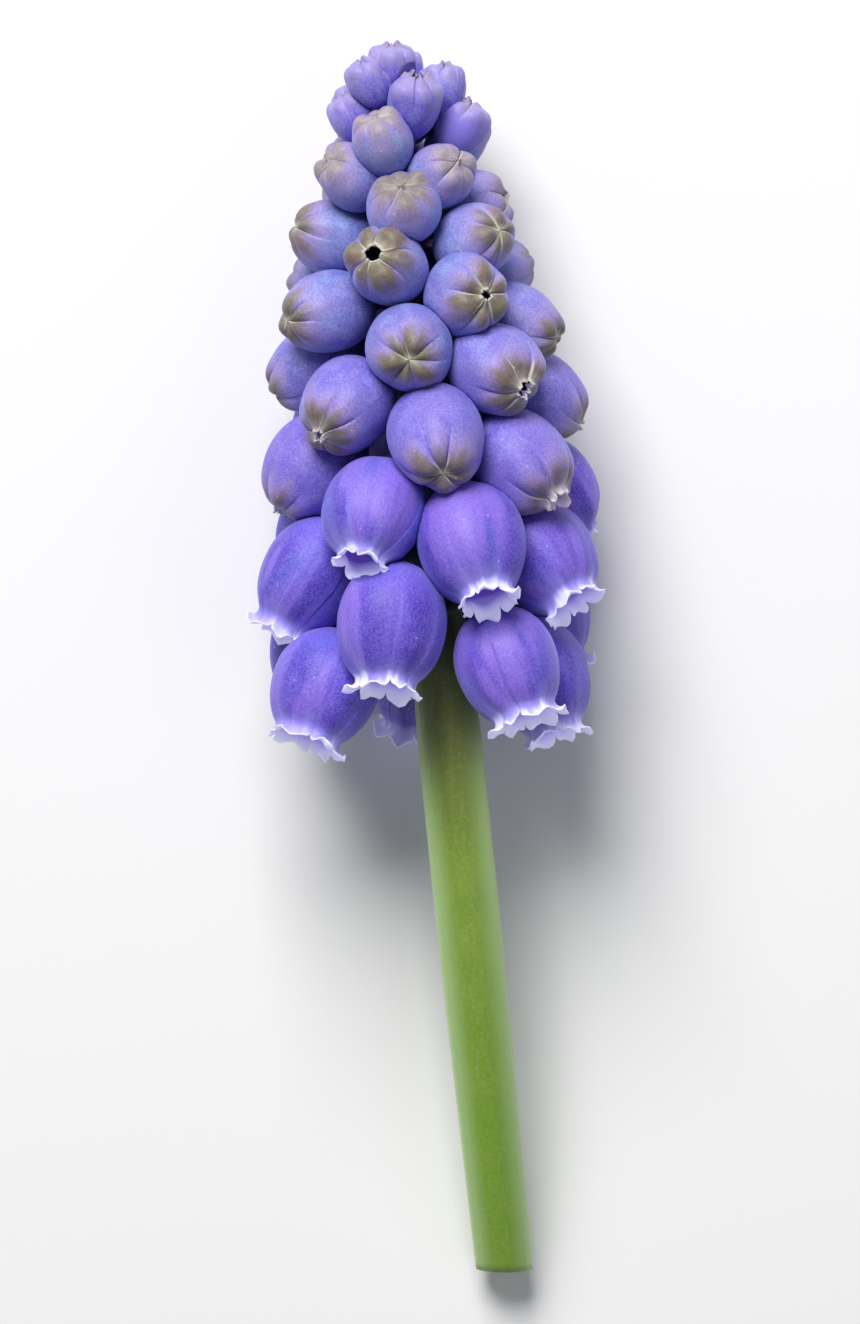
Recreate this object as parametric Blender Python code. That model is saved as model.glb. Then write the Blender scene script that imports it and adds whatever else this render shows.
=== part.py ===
# A cut grape hyacinth lying on a table, seen from above with its tip towards +Y.
# The flower stem runs on through the head as its axis. Three crowded bodies sit round that axis:
# the open bells at the base of the head, the closed buds above them, and the sterile crown.
# The florets follow one spiral with the golden angle between each floret and the next.
import math

import bmesh
import bpy
import numpy as np
from mathutils import Vector

MM = 0.001

# Flower stem and the axis it becomes inside the head
CUT_END_X = 3.32 * MM
CUT_END_Y = -28.56 * MM
STEM_LEAN = 0.1012
CUT_END_RADIUS = 1.31 * MM
STEM_TOP_RADIUS = 1.47 * MM
STEM_SWELL_RATE = 1.6
AXIS_TIP_RADIUS = 0.50 * MM
HEAD_FOOT_Y = -3.56 * MM
AXIS_TIP_Y = 22.94 * MM
CROWN_CORE_RADIUS = 0.80 * MM
CROWN_CORE_LENGTH = 3.6 * MM
CROWN_CORE_TAPER = 0.4
CROWN_CORE_POINT = 0.05
CROWN_ROOT_LIFT = 0.7 * MM
CROWN_ROOT_SHARE = 0.3
STEM_SIDES = 16
STEM_RINGS = 18
AXIS_RINGS = 4

# How the flower lies: height of the axis over the table and the slope of the head
HEAD_FOOT_HEIGHT = 6.50 * MM
HEAD_SLOPE = math.radians(1.0)
CUT_END_HEIGHT = 1.30 * MM
FLAT_SPOT_DEPTH = 0.16 * MM

# The head, measured down from its tip
HEAD_TIP_Y = 27.59 * MM
RING_LEAN = math.radians(5.3)
CENTRE_LINE_X = -2.14 * MM
CENTRE_LINE_SLOPE = 0.1861
CENTRE_LINE_BEND = 0.00432 / MM

# The spiral of florets
FLORET_COUNT = 62
FIRST_BUD = 11
FIRST_BELL = 47
DIVERGENCE = math.radians(137.08)
FIRST_TURN = math.radians(6.9)
FIRST_STEP = 0.2472 * MM
STEP_GROWTH = 0.00742 * MM
FIRST_DEPTH = 0.30 * MM
TIP_SPREAD = 1.70 * MM
FULL_SPREAD = 5.40 * MM
DEPTH_OF_FULL_SPREAD = 22.6 * MM
# Where single florets stray from the spiral: extra turn in degrees, extra depth in millimetres
STRAYS = {
    0: (10, 0.6), 10: (0, -0.3), 13: (-5, -0.3), 16: (0, 0.3), 18: (-8, -0.7), 19: (0, 0.5),
    21: (-9, -0.4), 23: (0, 0.3), 24: (-9, 0.0), 26: (11, 0.1), 27: (0, 0.6), 29: (7, 0.4),
    32: (0, 0.3), 34: (5, 0.0), 37: (0, -0.3), 47: (4, 0.0), 48: (0, -0.3), 52: (-10, 0.1),
    53: (0, -0.7), 55: (-3, 0.5), 58: (7, 0.7), 60: (-4, -0.2),
}
POINTING_JITTER = math.radians(6.0)
SEED = 7

# Depth below the tip, floret width, floret length, and how far it points up to the tip
FLORET_STATIONS = (
    (0.5 * MM, 1.80 * MM, 2.50 * MM, 78.0),
    (2.6 * MM, 2.35 * MM, 2.90 * MM, 62.0),
    (5.6 * MM, 3.15 * MM, 3.40 * MM, 28.0),
    (11.3 * MM, 3.75 * MM, 4.20 * MM, -3.0),
    (15.8 * MM, 4.20 * MM, 4.75 * MM, -36.0),
    (20.2 * MM, 4.70 * MM, 5.50 * MM, -50.0),
    (26.0 * MM, 4.85 * MM, 6.10 * MM, -69.0),
)
SOLID_SHRINK = 0.95

# Each floret is felt by its neighbours as four balls in a row:
# place along the floret from its middle, and radius, as shares of its length and half width
FEELER_BALLS = ((-0.22, 0.68), (-0.04, 0.93), (0.14, 0.82), (0.31, 0.50))

# How the florets make room for each other. A floret gives way by one share of an overlap with
# a neighbour and by a larger one where it meets the table or the axis, which stay put.
JOSTLE_ROUNDS = 160
SETTLE_ROUNDS = 60
HOMING = 0.06
GIVE_TO_NEIGHBOUR = 0.25
GIVE_TO_FIXED = 0.5
BODY_GAP = 0.34 * MM
UNDERSIDE_SQUEEZE = 0.10
OUTLINE_SLACK = 0.30 * MM

# Stalks of the florets, and the sleeve each body has round the axis. A stalk ends in the floret
# and bends behind it, both measured back from its middle as shares of its length.
STALK_RADIUS = 0.40 * MM
STALK_END_SHARE = 0.36
STALK_BEND_SHARE = 0.72
STALK_TAIL = 0.02 * MM
STALK_POINT = 0.10 * MM
ARCH_RISE = 2.0 * MM
UPRIGHT_REACH = 0.6
STALK_SIDES = 5
STALK_STEPS = 2
SLEEVE_GAP = 0.30 * MM
SLEEVE_WALL = 0.50 * MM
SLEEVE_SIDES = 16
SLEEVE_STEP = 4.0 * MM
SLEEVE_END_GAP = 0.35 * MM
SLEEVE_OVERHANG = 0.6 * MM
ROOT_MARGIN = 0.5 * MM

FLORET_SIDES = 12

# The exact solver leaves edges with three faces where many florets meet
FUSING_SOLVER = "MANIFOLD"

# Outline of an open bell from its stalk to its rim and back down the throat:
# distance along the bell, radius, and how much its six lobes stand out. All are shares.
BELL_OUTLINE = (
    (0.03, 0.36, 0.00),
    (0.16, 0.76, 0.00),
    (0.38, 1.00, 0.00),
    (0.62, 0.96, 0.00),
    (0.80, 0.74, 0.00),
    (0.90, 0.54, 0.00),
    (0.99, 0.66, 0.16),
    (0.93, 0.42, 0.00),
    (0.80, 0.40, 0.00),
)
BELL_THROAT_DEPTH = 0.78

# Outline of a closed bud. Its six lobes meet in a shallow star at the tip.
BUD_OUTLINE = (
    (0.05, 0.46, 0.00),
    (0.28, 0.93, 0.00),
    (0.60, 0.98, 0.00),
    (0.88, 0.62, 0.05),
    (0.99, 0.26, 0.22),
)
BUD_STAR_DEPTH = 0.94

# Outline of a sterile floret: narrow, with six upright teeth
CROWN_OUTLINE = (
    (0.04, 0.40, 0.00),
    (0.34, 0.92, 0.00),
    (0.68, 0.96, 0.02),
    (0.98, 0.56, 0.18),
)
CROWN_STAR_DEPTH = 0.80

STEM_GREEN = (0.30, 0.42, 0.13, 1.0)
BELL_VIOLET = (0.13, 0.08, 0.55, 1.0)
BUD_BLUE = (0.18, 0.18, 0.60, 1.0)
CROWN_LILAC = (0.28, 0.20, 0.68, 1.0)
PLANT_ROUGHNESS = 0.5
SHARP_EDGE = math.radians(42)


def clear_scene():
    """Remove every object that the scene starts with."""
    for obj in list(bpy.data.objects):
        bpy.data.objects.remove(obj, do_unlink=True)


def make_material(name, colour):
    """A plain plant surface of one colour."""
    material = bpy.data.materials.new(name)
    material.use_nodes = True
    shader = material.node_tree.nodes["Principled BSDF"]
    shader.inputs["Base Color"].default_value = colour
    shader.inputs["Roughness"].default_value = PLANT_ROUGHNESS
    shader.inputs["Metallic"].default_value = 0.0
    return material


def link_mesh(name, mesh):
    """Put a finished bmesh into the scene as an object."""
    bmesh.ops.recalc_face_normals(mesh, faces=mesh.faces)
    data = bpy.data.meshes.new(name)
    mesh.to_mesh(data)
    mesh.free()
    obj = bpy.data.objects.new(name, data)
    bpy.context.scene.collection.objects.link(obj)
    return obj


def unit(vector):
    """The vector at length one."""
    return vector / np.linalg.norm(vector)


def head_frame():
    """Side, upward and tipward directions of the head as it lies."""
    side = np.array([math.cos(RING_LEAN), math.sin(RING_LEAN), 0.0])
    level = math.cos(HEAD_SLOPE)
    tipward = np.array([
        -math.sin(RING_LEAN) * level,
        math.cos(RING_LEAN) * level,
        -math.sin(HEAD_SLOPE),
    ])
    return side, np.cross(side, tipward), tipward


def axis_point(y):
    """Centre of the stem, or of the axis in the head, at one place along the table."""
    x = CUT_END_X - STEM_LEAN * (y - CUT_END_Y)
    if y >= HEAD_FOOT_Y:
        return np.array([x, y, HEAD_FOOT_HEIGHT - math.tan(HEAD_SLOPE) * (y - HEAD_FOOT_Y)])
    # below the head the stem bows down, level with the head at its top
    run = HEAD_FOOT_Y - CUT_END_Y
    share = (HEAD_FOOT_Y - y) / run
    start_rise = math.tan(HEAD_SLOPE) * run
    drop = HEAD_FOOT_HEIGHT + start_rise - CUT_END_HEIGHT
    return np.array([x, y, HEAD_FOOT_HEIGHT + start_rise * share - drop * share ** 2])


def axis_radius(y):
    """Radius of the stem or of the axis at one place along the table."""
    if y < HEAD_FOOT_Y:
        share = (y - CUT_END_Y) / (HEAD_FOOT_Y - CUT_END_Y)
        return CUT_END_RADIUS + (STEM_TOP_RADIUS - CUT_END_RADIUS) * min(1.0, share * STEM_SWELL_RATE)
    share = (y - HEAD_FOOT_Y) / (AXIS_TIP_Y - HEAD_FOOT_Y)
    return STEM_TOP_RADIUS + (AXIS_TIP_RADIUS - STEM_TOP_RADIUS) * share


def centre_line(depth):
    """The line the florets stand round, at one depth below the tip of the head."""
    y = HEAD_TIP_Y - depth
    x = CENTRE_LINE_X + CENTRE_LINE_SLOPE * depth - CENTRE_LINE_BEND * depth ** 2
    return np.array([x, y, axis_point(y)[2]])


def station_value(depth, column):
    """Read one column of the floret stations at a depth below the tip."""
    depths = [station[0] for station in FLORET_STATIONS]
    values = [station[column] for station in FLORET_STATIONS]
    return float(np.interp(depth, depths, values))


def spiral_plan():
    """One entry for each floret: where it sits, which way it points, its size and its body."""
    side, upward, tipward = head_frame()
    random_state = np.random.RandomState(SEED)
    plan = []
    for number in range(FLORET_COUNT):
        depth = FIRST_DEPTH + FIRST_STEP * number + STEP_GROWTH * number ** 2 / 2
        stray_turn, stray_depth = STRAYS.get(number, (0, 0.0))
        turn = FIRST_TURN + DIVERGENCE * number + math.radians(stray_turn)
        depth += stray_depth * MM
        share = min(1.0, max(0.0, depth / DEPTH_OF_FULL_SPREAD))
        spread = TIP_SPREAD + (FULL_SPREAD - TIP_SPREAD) * math.sin(share * math.pi / 2)
        outward = math.sin(turn) * side + math.cos(turn) * upward
        pitch = math.radians(station_value(depth, 3))
        pitch += random_state.uniform(-POINTING_JITTER, POINTING_JITTER)
        body = "sterile_crown"
        if number >= FIRST_BUD:
            body = "closed_buds"
        if number >= FIRST_BELL:
            body = "open_bells"
        plan.append({
            "number": number,
            "body": body,
            "depth": depth,
            "centre": centre_line(depth) + spread * outward,
            "pointing": math.cos(pitch) * outward + math.sin(pitch) * tipward,
            "spread": spread,
            "width": station_value(depth, 1) * (1 - UNDERSIDE_SQUEEZE * max(0.0, -math.cos(turn))),
            "length": station_value(depth, 2),
        })
    return plan


def make_room(plan):
    """Let crowded florets push each other apart, off the axis and off the table."""
    home = np.array([entry["centre"] for entry in plan])
    pointing = np.array([entry["pointing"] for entry in plan])
    length = np.array([entry["length"] for entry in plan])
    half_width = np.array([entry["width"] for entry in plan]) / 2
    body = np.array([entry["body"] for entry in plan])
    middle = np.array([centre_line(entry["depth"]) for entry in plan])
    reach = np.array([entry["spread"] + OUTLINE_SLACK for entry in plan])
    apart = np.where(body[:, None] != body[None, :], BODY_GAP, 0.0)
    offsets = np.array([ball[0] for ball in FEELER_BALLS])
    radii = half_width[:, None] * np.array([ball[1] for ball in FEELER_BALLS])[None, :]
    arms = pointing[:, None, :] * (length[:, None] * offsets[None, :])[:, :, None]
    centre = home.copy()
    count = len(plan)
    for turn in range(JOSTLE_ROUNDS + SETTLE_ROUNDS):
        push = np.zeros_like(centre)
        balls = centre[:, None, :] + arms
        for one in range(count):
            gap = balls[one][:, None, None, :] - balls[None, :, :, :]
            distance = np.linalg.norm(gap, axis=3) + 1e-9
            need = radii[one][:, None, None] + radii[None, :, :] + apart[one][None, :, None]
            overlap = need - distance
            overlap[:, one, :] = -1.0
            deepest = overlap.transpose(1, 0, 2).reshape(count, -1)
            choice = deepest.argmax(axis=1)
            for other in np.nonzero(deepest.max(axis=1) > 0)[0]:
                mine, theirs = divmod(int(choice[other]), len(FEELER_BALLS))
                way = gap[mine, other, theirs] / distance[mine, other, theirs]
                push[one] += way * deepest[other].max() * GIVE_TO_NEIGHBOUR
        for one in range(count):
            for ball in range(len(FEELER_BALLS)):
                point = balls[one, ball]
                radius = radii[one, ball]
                sink = radius - FLAT_SPOT_DEPTH - point[2]
                push[one][2] += max(0.0, sink) * GIVE_TO_FIXED
                core_y = min(point[1], AXIS_TIP_Y)
                away = point - axis_point(core_y)
                room = axis_radius(core_y) + SLEEVE_GAP + SLEEVE_WALL + radius
                close = room - np.linalg.norm(away)
                if close > 0 and point[1] < AXIS_TIP_Y:
                    push[one] += unit(away) * close * GIVE_TO_FIXED
        centre += push
        if turn < JOSTLE_ROUNDS:
            centre += (home - centre) * HOMING
        # no floret leaves the outline of the head
        arm = centre - middle
        arm[:, 1] = 0.0
        stretch = np.linalg.norm(arm, axis=1) / reach
        centre -= arm * np.maximum(0.0, 1 - 1 / np.maximum(stretch, 1e-9))[:, None]
    for entry, place in zip(plan, centre):
        entry["centre"] = place
    return plan


def cross_directions(pointing):
    """Two directions square to the way a floret points and to each other."""
    helper = np.array([0.0, 0.0, 1.0])
    if abs(pointing[2]) > 0.9:
        helper = np.array([1.0, 0.0, 0.0])
    first = unit(np.cross(helper, pointing))
    return first, np.cross(pointing, first)


def loft(rings, start_point, end_point):
    """A closed body through rings of points, closed to a point at each end."""
    mesh = bmesh.new()
    loops = [[mesh.verts.new(point) for point in ring] for ring in rings]
    sides = len(loops[0])
    for lower, upper in zip(loops, loops[1:]):
        for index in range(sides):
            following = (index + 1) % sides
            mesh.faces.new((lower[index], lower[following], upper[following], upper[index]))
    start = mesh.verts.new(start_point)
    end = mesh.verts.new(end_point)
    for index in range(sides):
        following = (index + 1) % sides
        mesh.faces.new((start, loops[0][following], loops[0][index]))
        mesh.faces.new((end, loops[-1][index], loops[-1][following]))
    return mesh


def make_floret(entry, outline, end_share):
    """One floret, turned from its outline, with six lobes where the outline asks for them."""
    pointing = entry["pointing"]
    first, second = cross_directions(pointing)
    length = entry["length"] * SOLID_SHRINK
    half_width = entry["width"] / 2 * SOLID_SHRINK
    back = entry["centre"] - pointing * length / 2
    rings = []
    for along, radius, lobes in outline:
        ring = []
        for index in range(FLORET_SIDES):
            angle = 2 * math.pi * index / FLORET_SIDES
            swell = 1.0 + lobes * (1 if index % 2 == 0 else -1)
            reach = half_width * radius * swell
            around = first * math.cos(angle) + second * math.sin(angle)
            ring.append(Vector(back + pointing * length * along + around * reach))
        rings.append(ring)
    mesh = loft(rings, Vector(back), Vector(back + pointing * length * end_share))
    return link_mesh("floret", mesh)


def make_stalk(entry):
    """The short stalk that arches from the axis into the top of a floret."""
    pointing = entry["pointing"]
    length = entry["length"] * SOLID_SHRINK
    tip = entry["centre"] - pointing * length * STALK_END_SHARE
    bend = entry["centre"] - pointing * length * STALK_BEND_SHARE
    core = axis_point(entry["root_y"])
    away = bend - core
    away[1] = 0.0
    root = core + unit(away) * entry["root_radius"]
    points = []
    for step in range(STALK_STEPS + 1):
        share = step / STALK_STEPS
        points.append(root * (1 - share) ** 2 + bend * 2 * share * (1 - share) + tip * share ** 2)
    rings = []
    for step, point in enumerate(points):
        before = points[max(0, step - 1)]
        after = points[min(STALK_STEPS, step + 1)]
        first, second = cross_directions(unit(after - before))
        ring = []
        for index in range(STALK_SIDES):
            angle = 2 * math.pi * index / STALK_SIDES
            around = first * math.cos(angle) + second * math.sin(angle)
            ring.append(Vector(point + around * STALK_RADIUS))
        rings.append(ring)
    start = Vector(points[0] - unit(points[1] - points[0]) * STALK_TAIL)
    end = Vector(points[-1] + unit(points[-1] - points[-2]) * STALK_POINT)
    return link_mesh("stalk", loft(rings, start, end))


def axis_ring(y, radius, sides):
    """A ring of points square to the axis at one place along the table."""
    step = 0.05 * MM
    forward = unit(axis_point(y + step) - axis_point(y - step))
    first = unit(np.cross(forward, np.array([0.0, 0.0, 1.0])))
    second = np.cross(first, forward)
    centre = axis_point(y)
    ring = []
    for index in range(sides):
        angle = 2 * math.pi * (index + 0.5) / sides
        ring.append(Vector(centre + (first * math.cos(angle) + second * math.sin(angle)) * radius))
    return ring


def make_sleeve(low_y, high_y):
    """The tube round the axis that the stalks of one body grow from."""
    sides = SLEEVE_SIDES
    steps = max(2, int((high_y - low_y) / SLEEVE_STEP) + 1)
    levels = [low_y + (high_y - low_y) * index / steps for index in range(steps + 1)]
    mesh = bmesh.new()
    outer = []
    inner = []
    for y in levels:
        bore = axis_radius(y) + SLEEVE_GAP
        inner.append([mesh.verts.new(point) for point in axis_ring(y, bore, sides)])
        outer.append([mesh.verts.new(point) for point in axis_ring(y, bore + SLEEVE_WALL, sides)])
    for index in range(sides):
        following = (index + 1) % sides
        for loops in (inner, outer):
            for lower, upper in zip(loops, loops[1:]):
                mesh.faces.new((lower[index], lower[following], upper[following], upper[index]))
        for level in (0, -1):
            mesh.faces.new((
                inner[level][index], inner[level][following],
                outer[level][following], outer[level][index],
            ))
    return link_mesh("sleeve", mesh)


def make_crown_core():
    """The slim core that the crown's florets grow from, seated on the end of the axis."""
    low_y = AXIS_TIP_Y + SLEEVE_GAP
    rings = []
    for share in (0.0, 0.5, 1.0):
        radius = CROWN_CORE_RADIUS * (1 - CROWN_CORE_TAPER * share)
        rings.append(axis_ring(low_y + CROWN_CORE_LENGTH * share, radius, SLEEVE_SIDES))
    end = Vector(axis_point(low_y + CROWN_CORE_LENGTH * (1 + CROWN_CORE_POINT)))
    return link_mesh("sleeve", loft(rings, Vector(axis_point(low_y)), end))


def union_of(base, parts, name):
    """Fuse a sleeve with the florets and stalks that are sunk into it."""
    group = bpy.data.collections.new(name + "_parts")
    bpy.context.scene.collection.children.link(group)
    for part in parts:
        bpy.context.scene.collection.objects.unlink(part)
        group.objects.link(part)
    modifier = base.modifiers.new("fuse", "BOOLEAN")
    modifier.operation = "UNION"
    modifier.operand_type = "COLLECTION"
    modifier.collection = group
    modifier.solver = FUSING_SOLVER
    graph = bpy.context.evaluated_depsgraph_get()
    fused = bpy.data.meshes.new_from_object(base.evaluated_get(graph))
    for part in parts:
        bpy.data.objects.remove(part, do_unlink=True)
    bpy.data.collections.remove(group)
    bpy.data.objects.remove(base, do_unlink=True)
    mesh = bmesh.new()
    mesh.from_mesh(fused)
    keep_outer_skin(mesh)
    return mesh


def skin_pieces(mesh):
    """The faces of a mesh, sorted into connected skins."""
    left = set(mesh.faces)
    skins = []
    while left:
        seed = left.pop()
        skin = [seed]
        queue = [seed]
        while queue:
            face = queue.pop()
            for edge in face.edges:
                for neighbour in edge.link_faces:
                    if neighbour in left:
                        left.remove(neighbour)
                        skin.append(neighbour)
                        queue.append(neighbour)
        skins.append(skin)
    return skins


def keep_outer_skin(mesh):
    """Drop loose scraps and the walls of hollows that fusing has sealed."""
    skins = skin_pieces(mesh)
    skins.sort(key=lambda skin: sum(face.calc_area() for face in skin), reverse=True)
    for skin in skins[1:]:
        bmesh.ops.delete(mesh, geom=skin, context="FACES")


def press_on_table(mesh):
    """Flatten what would reach below the table, and close the flat spots."""
    geometry = list(mesh.verts) + list(mesh.edges) + list(mesh.faces)
    cut = bmesh.ops.bisect_plane(
        mesh, geom=geometry, dist=1e-9,
        plane_co=(0.0, 0.0, 0.0), plane_no=(0.0, 0.0, 1.0), clear_inner=True,
    )
    edges = [item for item in cut["geom_cut"] if isinstance(item, bmesh.types.BMEdge)]
    if edges:
        bmesh.ops.holes_fill(mesh, edges=edges, sides=0)
    return mesh


def finish_object(mesh, name, material):
    """Name a finished body, give it its colour and shade its rounds smooth."""
    bmesh.ops.triangulate(mesh, faces=[face for face in mesh.faces if len(face.verts) > 4])
    obj = link_mesh(name, mesh)
    obj.data.materials.append(material)
    obj.data.shade_smooth()
    obj.data.set_sharp_from_angle(angle=SHARP_EDGE)
    return obj


def make_stem():
    """The whole green stem, from the cut end to the tip of the axis in the head."""
    levels = []
    for index in range(STEM_RINGS):
        levels.append(CUT_END_Y + (HEAD_FOOT_Y - CUT_END_Y) * index / STEM_RINGS)
    for index in range(AXIS_RINGS):
        levels.append(HEAD_FOOT_Y + (AXIS_TIP_Y - HEAD_FOOT_Y) * index / (AXIS_RINGS - 1))
    rings = [axis_ring(y, axis_radius(y), STEM_SIDES) for y in levels]
    # the cut is square to the table and runs straight across the stem
    along = Vector(axis_point(levels[1]) - axis_point(levels[0])).normalized()
    rings[0] = [point + along * (CUT_END_Y - point.y) / along.y for point in rings[0]]
    mesh = loft(rings, Vector(axis_point(CUT_END_Y)), Vector(axis_point(AXIS_TIP_Y)))
    press_on_table(mesh)
    return finish_object(mesh, "flower_stem", make_material("stem_green", STEM_GREEN))


def make_body(plan, name, sleeve_range, colour):
    """One crowded body of florets on its own sleeve round the axis."""
    outlines = {
        "open_bells": (BELL_OUTLINE, BELL_THROAT_DEPTH),
        "closed_buds": (BUD_OUTLINE, BUD_STAR_DEPTH),
        "sterile_crown": (CROWN_OUTLINE, CROWN_STAR_DEPTH),
    }
    outline, end_share = outlines[name]
    parts = []
    for entry in plan:
        if entry["body"] != name:
            continue
        parts.append(make_floret(entry, outline, end_share))
        parts.append(make_stalk(entry))
    base = make_sleeve(*sleeve_range) if sleeve_range else make_crown_core()
    mesh = union_of(base, parts, name)
    press_on_table(mesh)
    return finish_object(mesh, name, make_material(name + "_skin", colour))


def place_roots(plan):
    """Where each stalk leaves the axis, and how far each sleeve reaches along it."""
    ranges = {"open_bells": [], "closed_buds": [], "sterile_crown": []}
    for entry in plan:
        upward = entry["pointing"][1]
        reach = entry["length"] * UPRIGHT_REACH if upward > 0 else ARCH_RISE
        root_y = entry["centre"][1] - upward * reach
        if entry["body"] == "sterile_crown":
            lowest = AXIS_TIP_Y + CROWN_ROOT_LIFT
            root_y = min(max(root_y, lowest), AXIS_TIP_Y + CROWN_CORE_LENGTH)
            entry["root_radius"] = CROWN_CORE_RADIUS * CROWN_ROOT_SHARE
        else:
            root_y = min(root_y, AXIS_TIP_Y - ROOT_MARGIN)
            entry["root_radius"] = axis_radius(root_y) + SLEEVE_GAP + SLEEVE_WALL / 2
        entry["root_y"] = root_y
        ranges[entry["body"]].append(root_y)
    bells_top = (min(ranges["closed_buds"]) + max(ranges["open_bells"])) / 2
    return {
        "open_bells": (min(ranges["open_bells"]) - SLEEVE_OVERHANG, bells_top - SLEEVE_END_GAP / 2),
        "closed_buds": (bells_top + SLEEVE_END_GAP / 2, AXIS_TIP_Y),
    }


def main():
    clear_scene()
    plan = make_room(spiral_plan())
    ranges = place_roots(plan)
    make_stem()
    make_body(plan, "open_bells", ranges["open_bells"], BELL_VIOLET)
    make_body(plan, "closed_buds", ranges["closed_buds"], BUD_BLUE)
    make_body(plan, "sterile_crown", None, CROWN_LILAC)


main()
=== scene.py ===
# %% [markdown]
# The looks of a cut grape hyacinth, lying on a pale table.
# The solid part is loaded first and stays where it is. Each of its four nodes is then replaced by
# finer pieces that keep its form: a smooth stem, florets with thin lobed rims, stalks and stamens.
# The real flower is about 57 mm long, so every length below is written in millimetres times MM.

# %% Load the solid part
import math

import bpy
import numpy as np
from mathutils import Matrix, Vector


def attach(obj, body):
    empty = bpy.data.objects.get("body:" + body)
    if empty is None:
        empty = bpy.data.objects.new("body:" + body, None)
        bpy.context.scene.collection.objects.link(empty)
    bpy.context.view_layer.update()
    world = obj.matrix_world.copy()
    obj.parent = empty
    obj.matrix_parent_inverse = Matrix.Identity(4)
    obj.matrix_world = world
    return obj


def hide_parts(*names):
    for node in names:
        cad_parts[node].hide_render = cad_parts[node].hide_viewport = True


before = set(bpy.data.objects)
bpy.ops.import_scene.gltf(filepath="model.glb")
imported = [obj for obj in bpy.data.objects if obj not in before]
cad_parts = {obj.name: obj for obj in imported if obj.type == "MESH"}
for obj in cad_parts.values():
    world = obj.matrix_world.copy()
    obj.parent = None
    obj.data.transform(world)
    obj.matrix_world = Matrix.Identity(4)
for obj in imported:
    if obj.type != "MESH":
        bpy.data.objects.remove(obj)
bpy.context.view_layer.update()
MM = 0.001
print("nodes:", sorted(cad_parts))

# %% [markdown]
# The camera comes before the pieces, and it has the photograph's view.
# The flower lies down, so the camera looks down on it, from 5 degrees to the tip's side. A long
# lens far away keeps the near and far florets at the same scale, as in a close-up taken from a
# distance. One picture pixel is 0.045 mm at the height of the flower's axis.

# %% Camera
PICTURE_PIXELS_HIGH = 1324
PIXEL_SIZE = 0.045 * MM
CAMERA_LEAN = math.radians(5.0)
CAMERA_TARGET = Vector((-0.0975, -0.0265, 7.0)) * MM
LENS = 200.0
SENSOR = 36.0


def add_object(name, data):
    """An object for this data, in the scene."""
    thing = bpy.data.objects.new(name, data)
    bpy.context.scene.collection.objects.link(thing)
    return thing


def add_camera():
    """A long lens over the flower, framed like the photograph."""
    data = bpy.data.cameras.new("camera")
    data.sensor_width = SENSOR
    data.lens = LENS
    distance = PICTURE_PIXELS_HIGH * PIXEL_SIZE * LENS / SENSOR
    data.clip_start = distance * 0.1
    data.clip_end = distance * 10
    camera = add_object("camera", data)
    back = Vector((0.0, math.sin(CAMERA_LEAN), math.cos(CAMERA_LEAN)))
    camera.location = CAMERA_TARGET + back * distance
    camera.rotation_euler = (-CAMERA_LEAN, 0.0, 0.0)
    bpy.context.scene.camera = camera
    print("camera distance in mm:", round(distance / MM))


add_camera()

# %% [markdown]
# Soft light with a clear direction shows round shapes best. One broad panel shines from beyond the
# tip of the flower, so each floret is bright on its upper side and dark under its neighbour.
# A weak panel from the side of the stem and an even sky keep the shadows open.
# The colours are shown without a film curve, because a film curve would grey the violets.

# %% Lights and table
SKY_COLOUR = (0.86, 0.90, 1.0, 1.0)
SKY_STRENGTH = 0.24
LIGHTS = (
    # name, place in mm, side in mm, watts, colour
    ("key_panel", (-90.0, 310.0, 310.0), 230.0, 2.75, (1.0, 0.98, 0.96)),
    ("fill_panel", (140.0, -60.0, 200.0), 200.0, 0.05, (0.92, 0.95, 1.0)),
)
TABLE_HALF = 400 * MM
TABLE_DROP = 0.02 * MM


def add_light(name, place, side, watts, colour):
    """One square panel that faces the middle of the flower."""
    data = bpy.data.lights.new(name, "AREA")
    data.size = side * MM
    data.energy = watts
    data.color = colour
    panel = add_object(name, data)
    panel.location = Vector(place) * MM
    panel.rotation_euler = (CAMERA_TARGET - panel.location).to_track_quat("-Z", "Y").to_euler()


def add_sky():
    """An even sky all round."""
    world = bpy.data.worlds.new("even_sky")
    world.use_nodes = True
    background = world.node_tree.nodes["Background"]
    background.inputs["Color"].default_value = SKY_COLOUR
    background.inputs["Strength"].default_value = SKY_STRENGTH
    bpy.context.scene.world = world


def new_material(name, values):
    """A material with its shader, whose plain values are set by their names."""
    material = bpy.data.materials.new(name)
    material.use_nodes = True
    shader = material.node_tree.nodes["Principled BSDF"]
    for title, value in values.items():
        shader.inputs[title].default_value = value
    return material, shader


def add_table():
    """A wide pale sheet that the flower lies on."""
    mesh = bpy.data.meshes.new("table")
    corners = [(x * TABLE_HALF, y * TABLE_HALF, 0) for x, y in ((-1, -1), (1, -1), (1, 1), (-1, 1))]
    mesh.from_pydata(corners, [], [(0, 1, 2, 3)])
    paper, _ = new_material("table_paper", {"Base Color": (0.84, 0.84, 0.84, 1.0), "Roughness": 0.9})
    mesh.materials.append(paper)
    table = add_object("table", mesh)
    table.location.z = -TABLE_DROP


for light in LIGHTS:
    add_light(*light)
add_sky()
add_table()
bpy.context.scene.view_settings.view_transform = "Standard"
print("lights:", [light[0] for light in LIGHTS])

# %% [markdown]
# The stem and the rule of the spiral are the same as in the solid part, so that every fine floret
# comes to lie close to its plain one. The stem is nearly level inside the head and bows down to
# the table at its cut end. The side, upward and tipward directions of the lying head follow.

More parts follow.
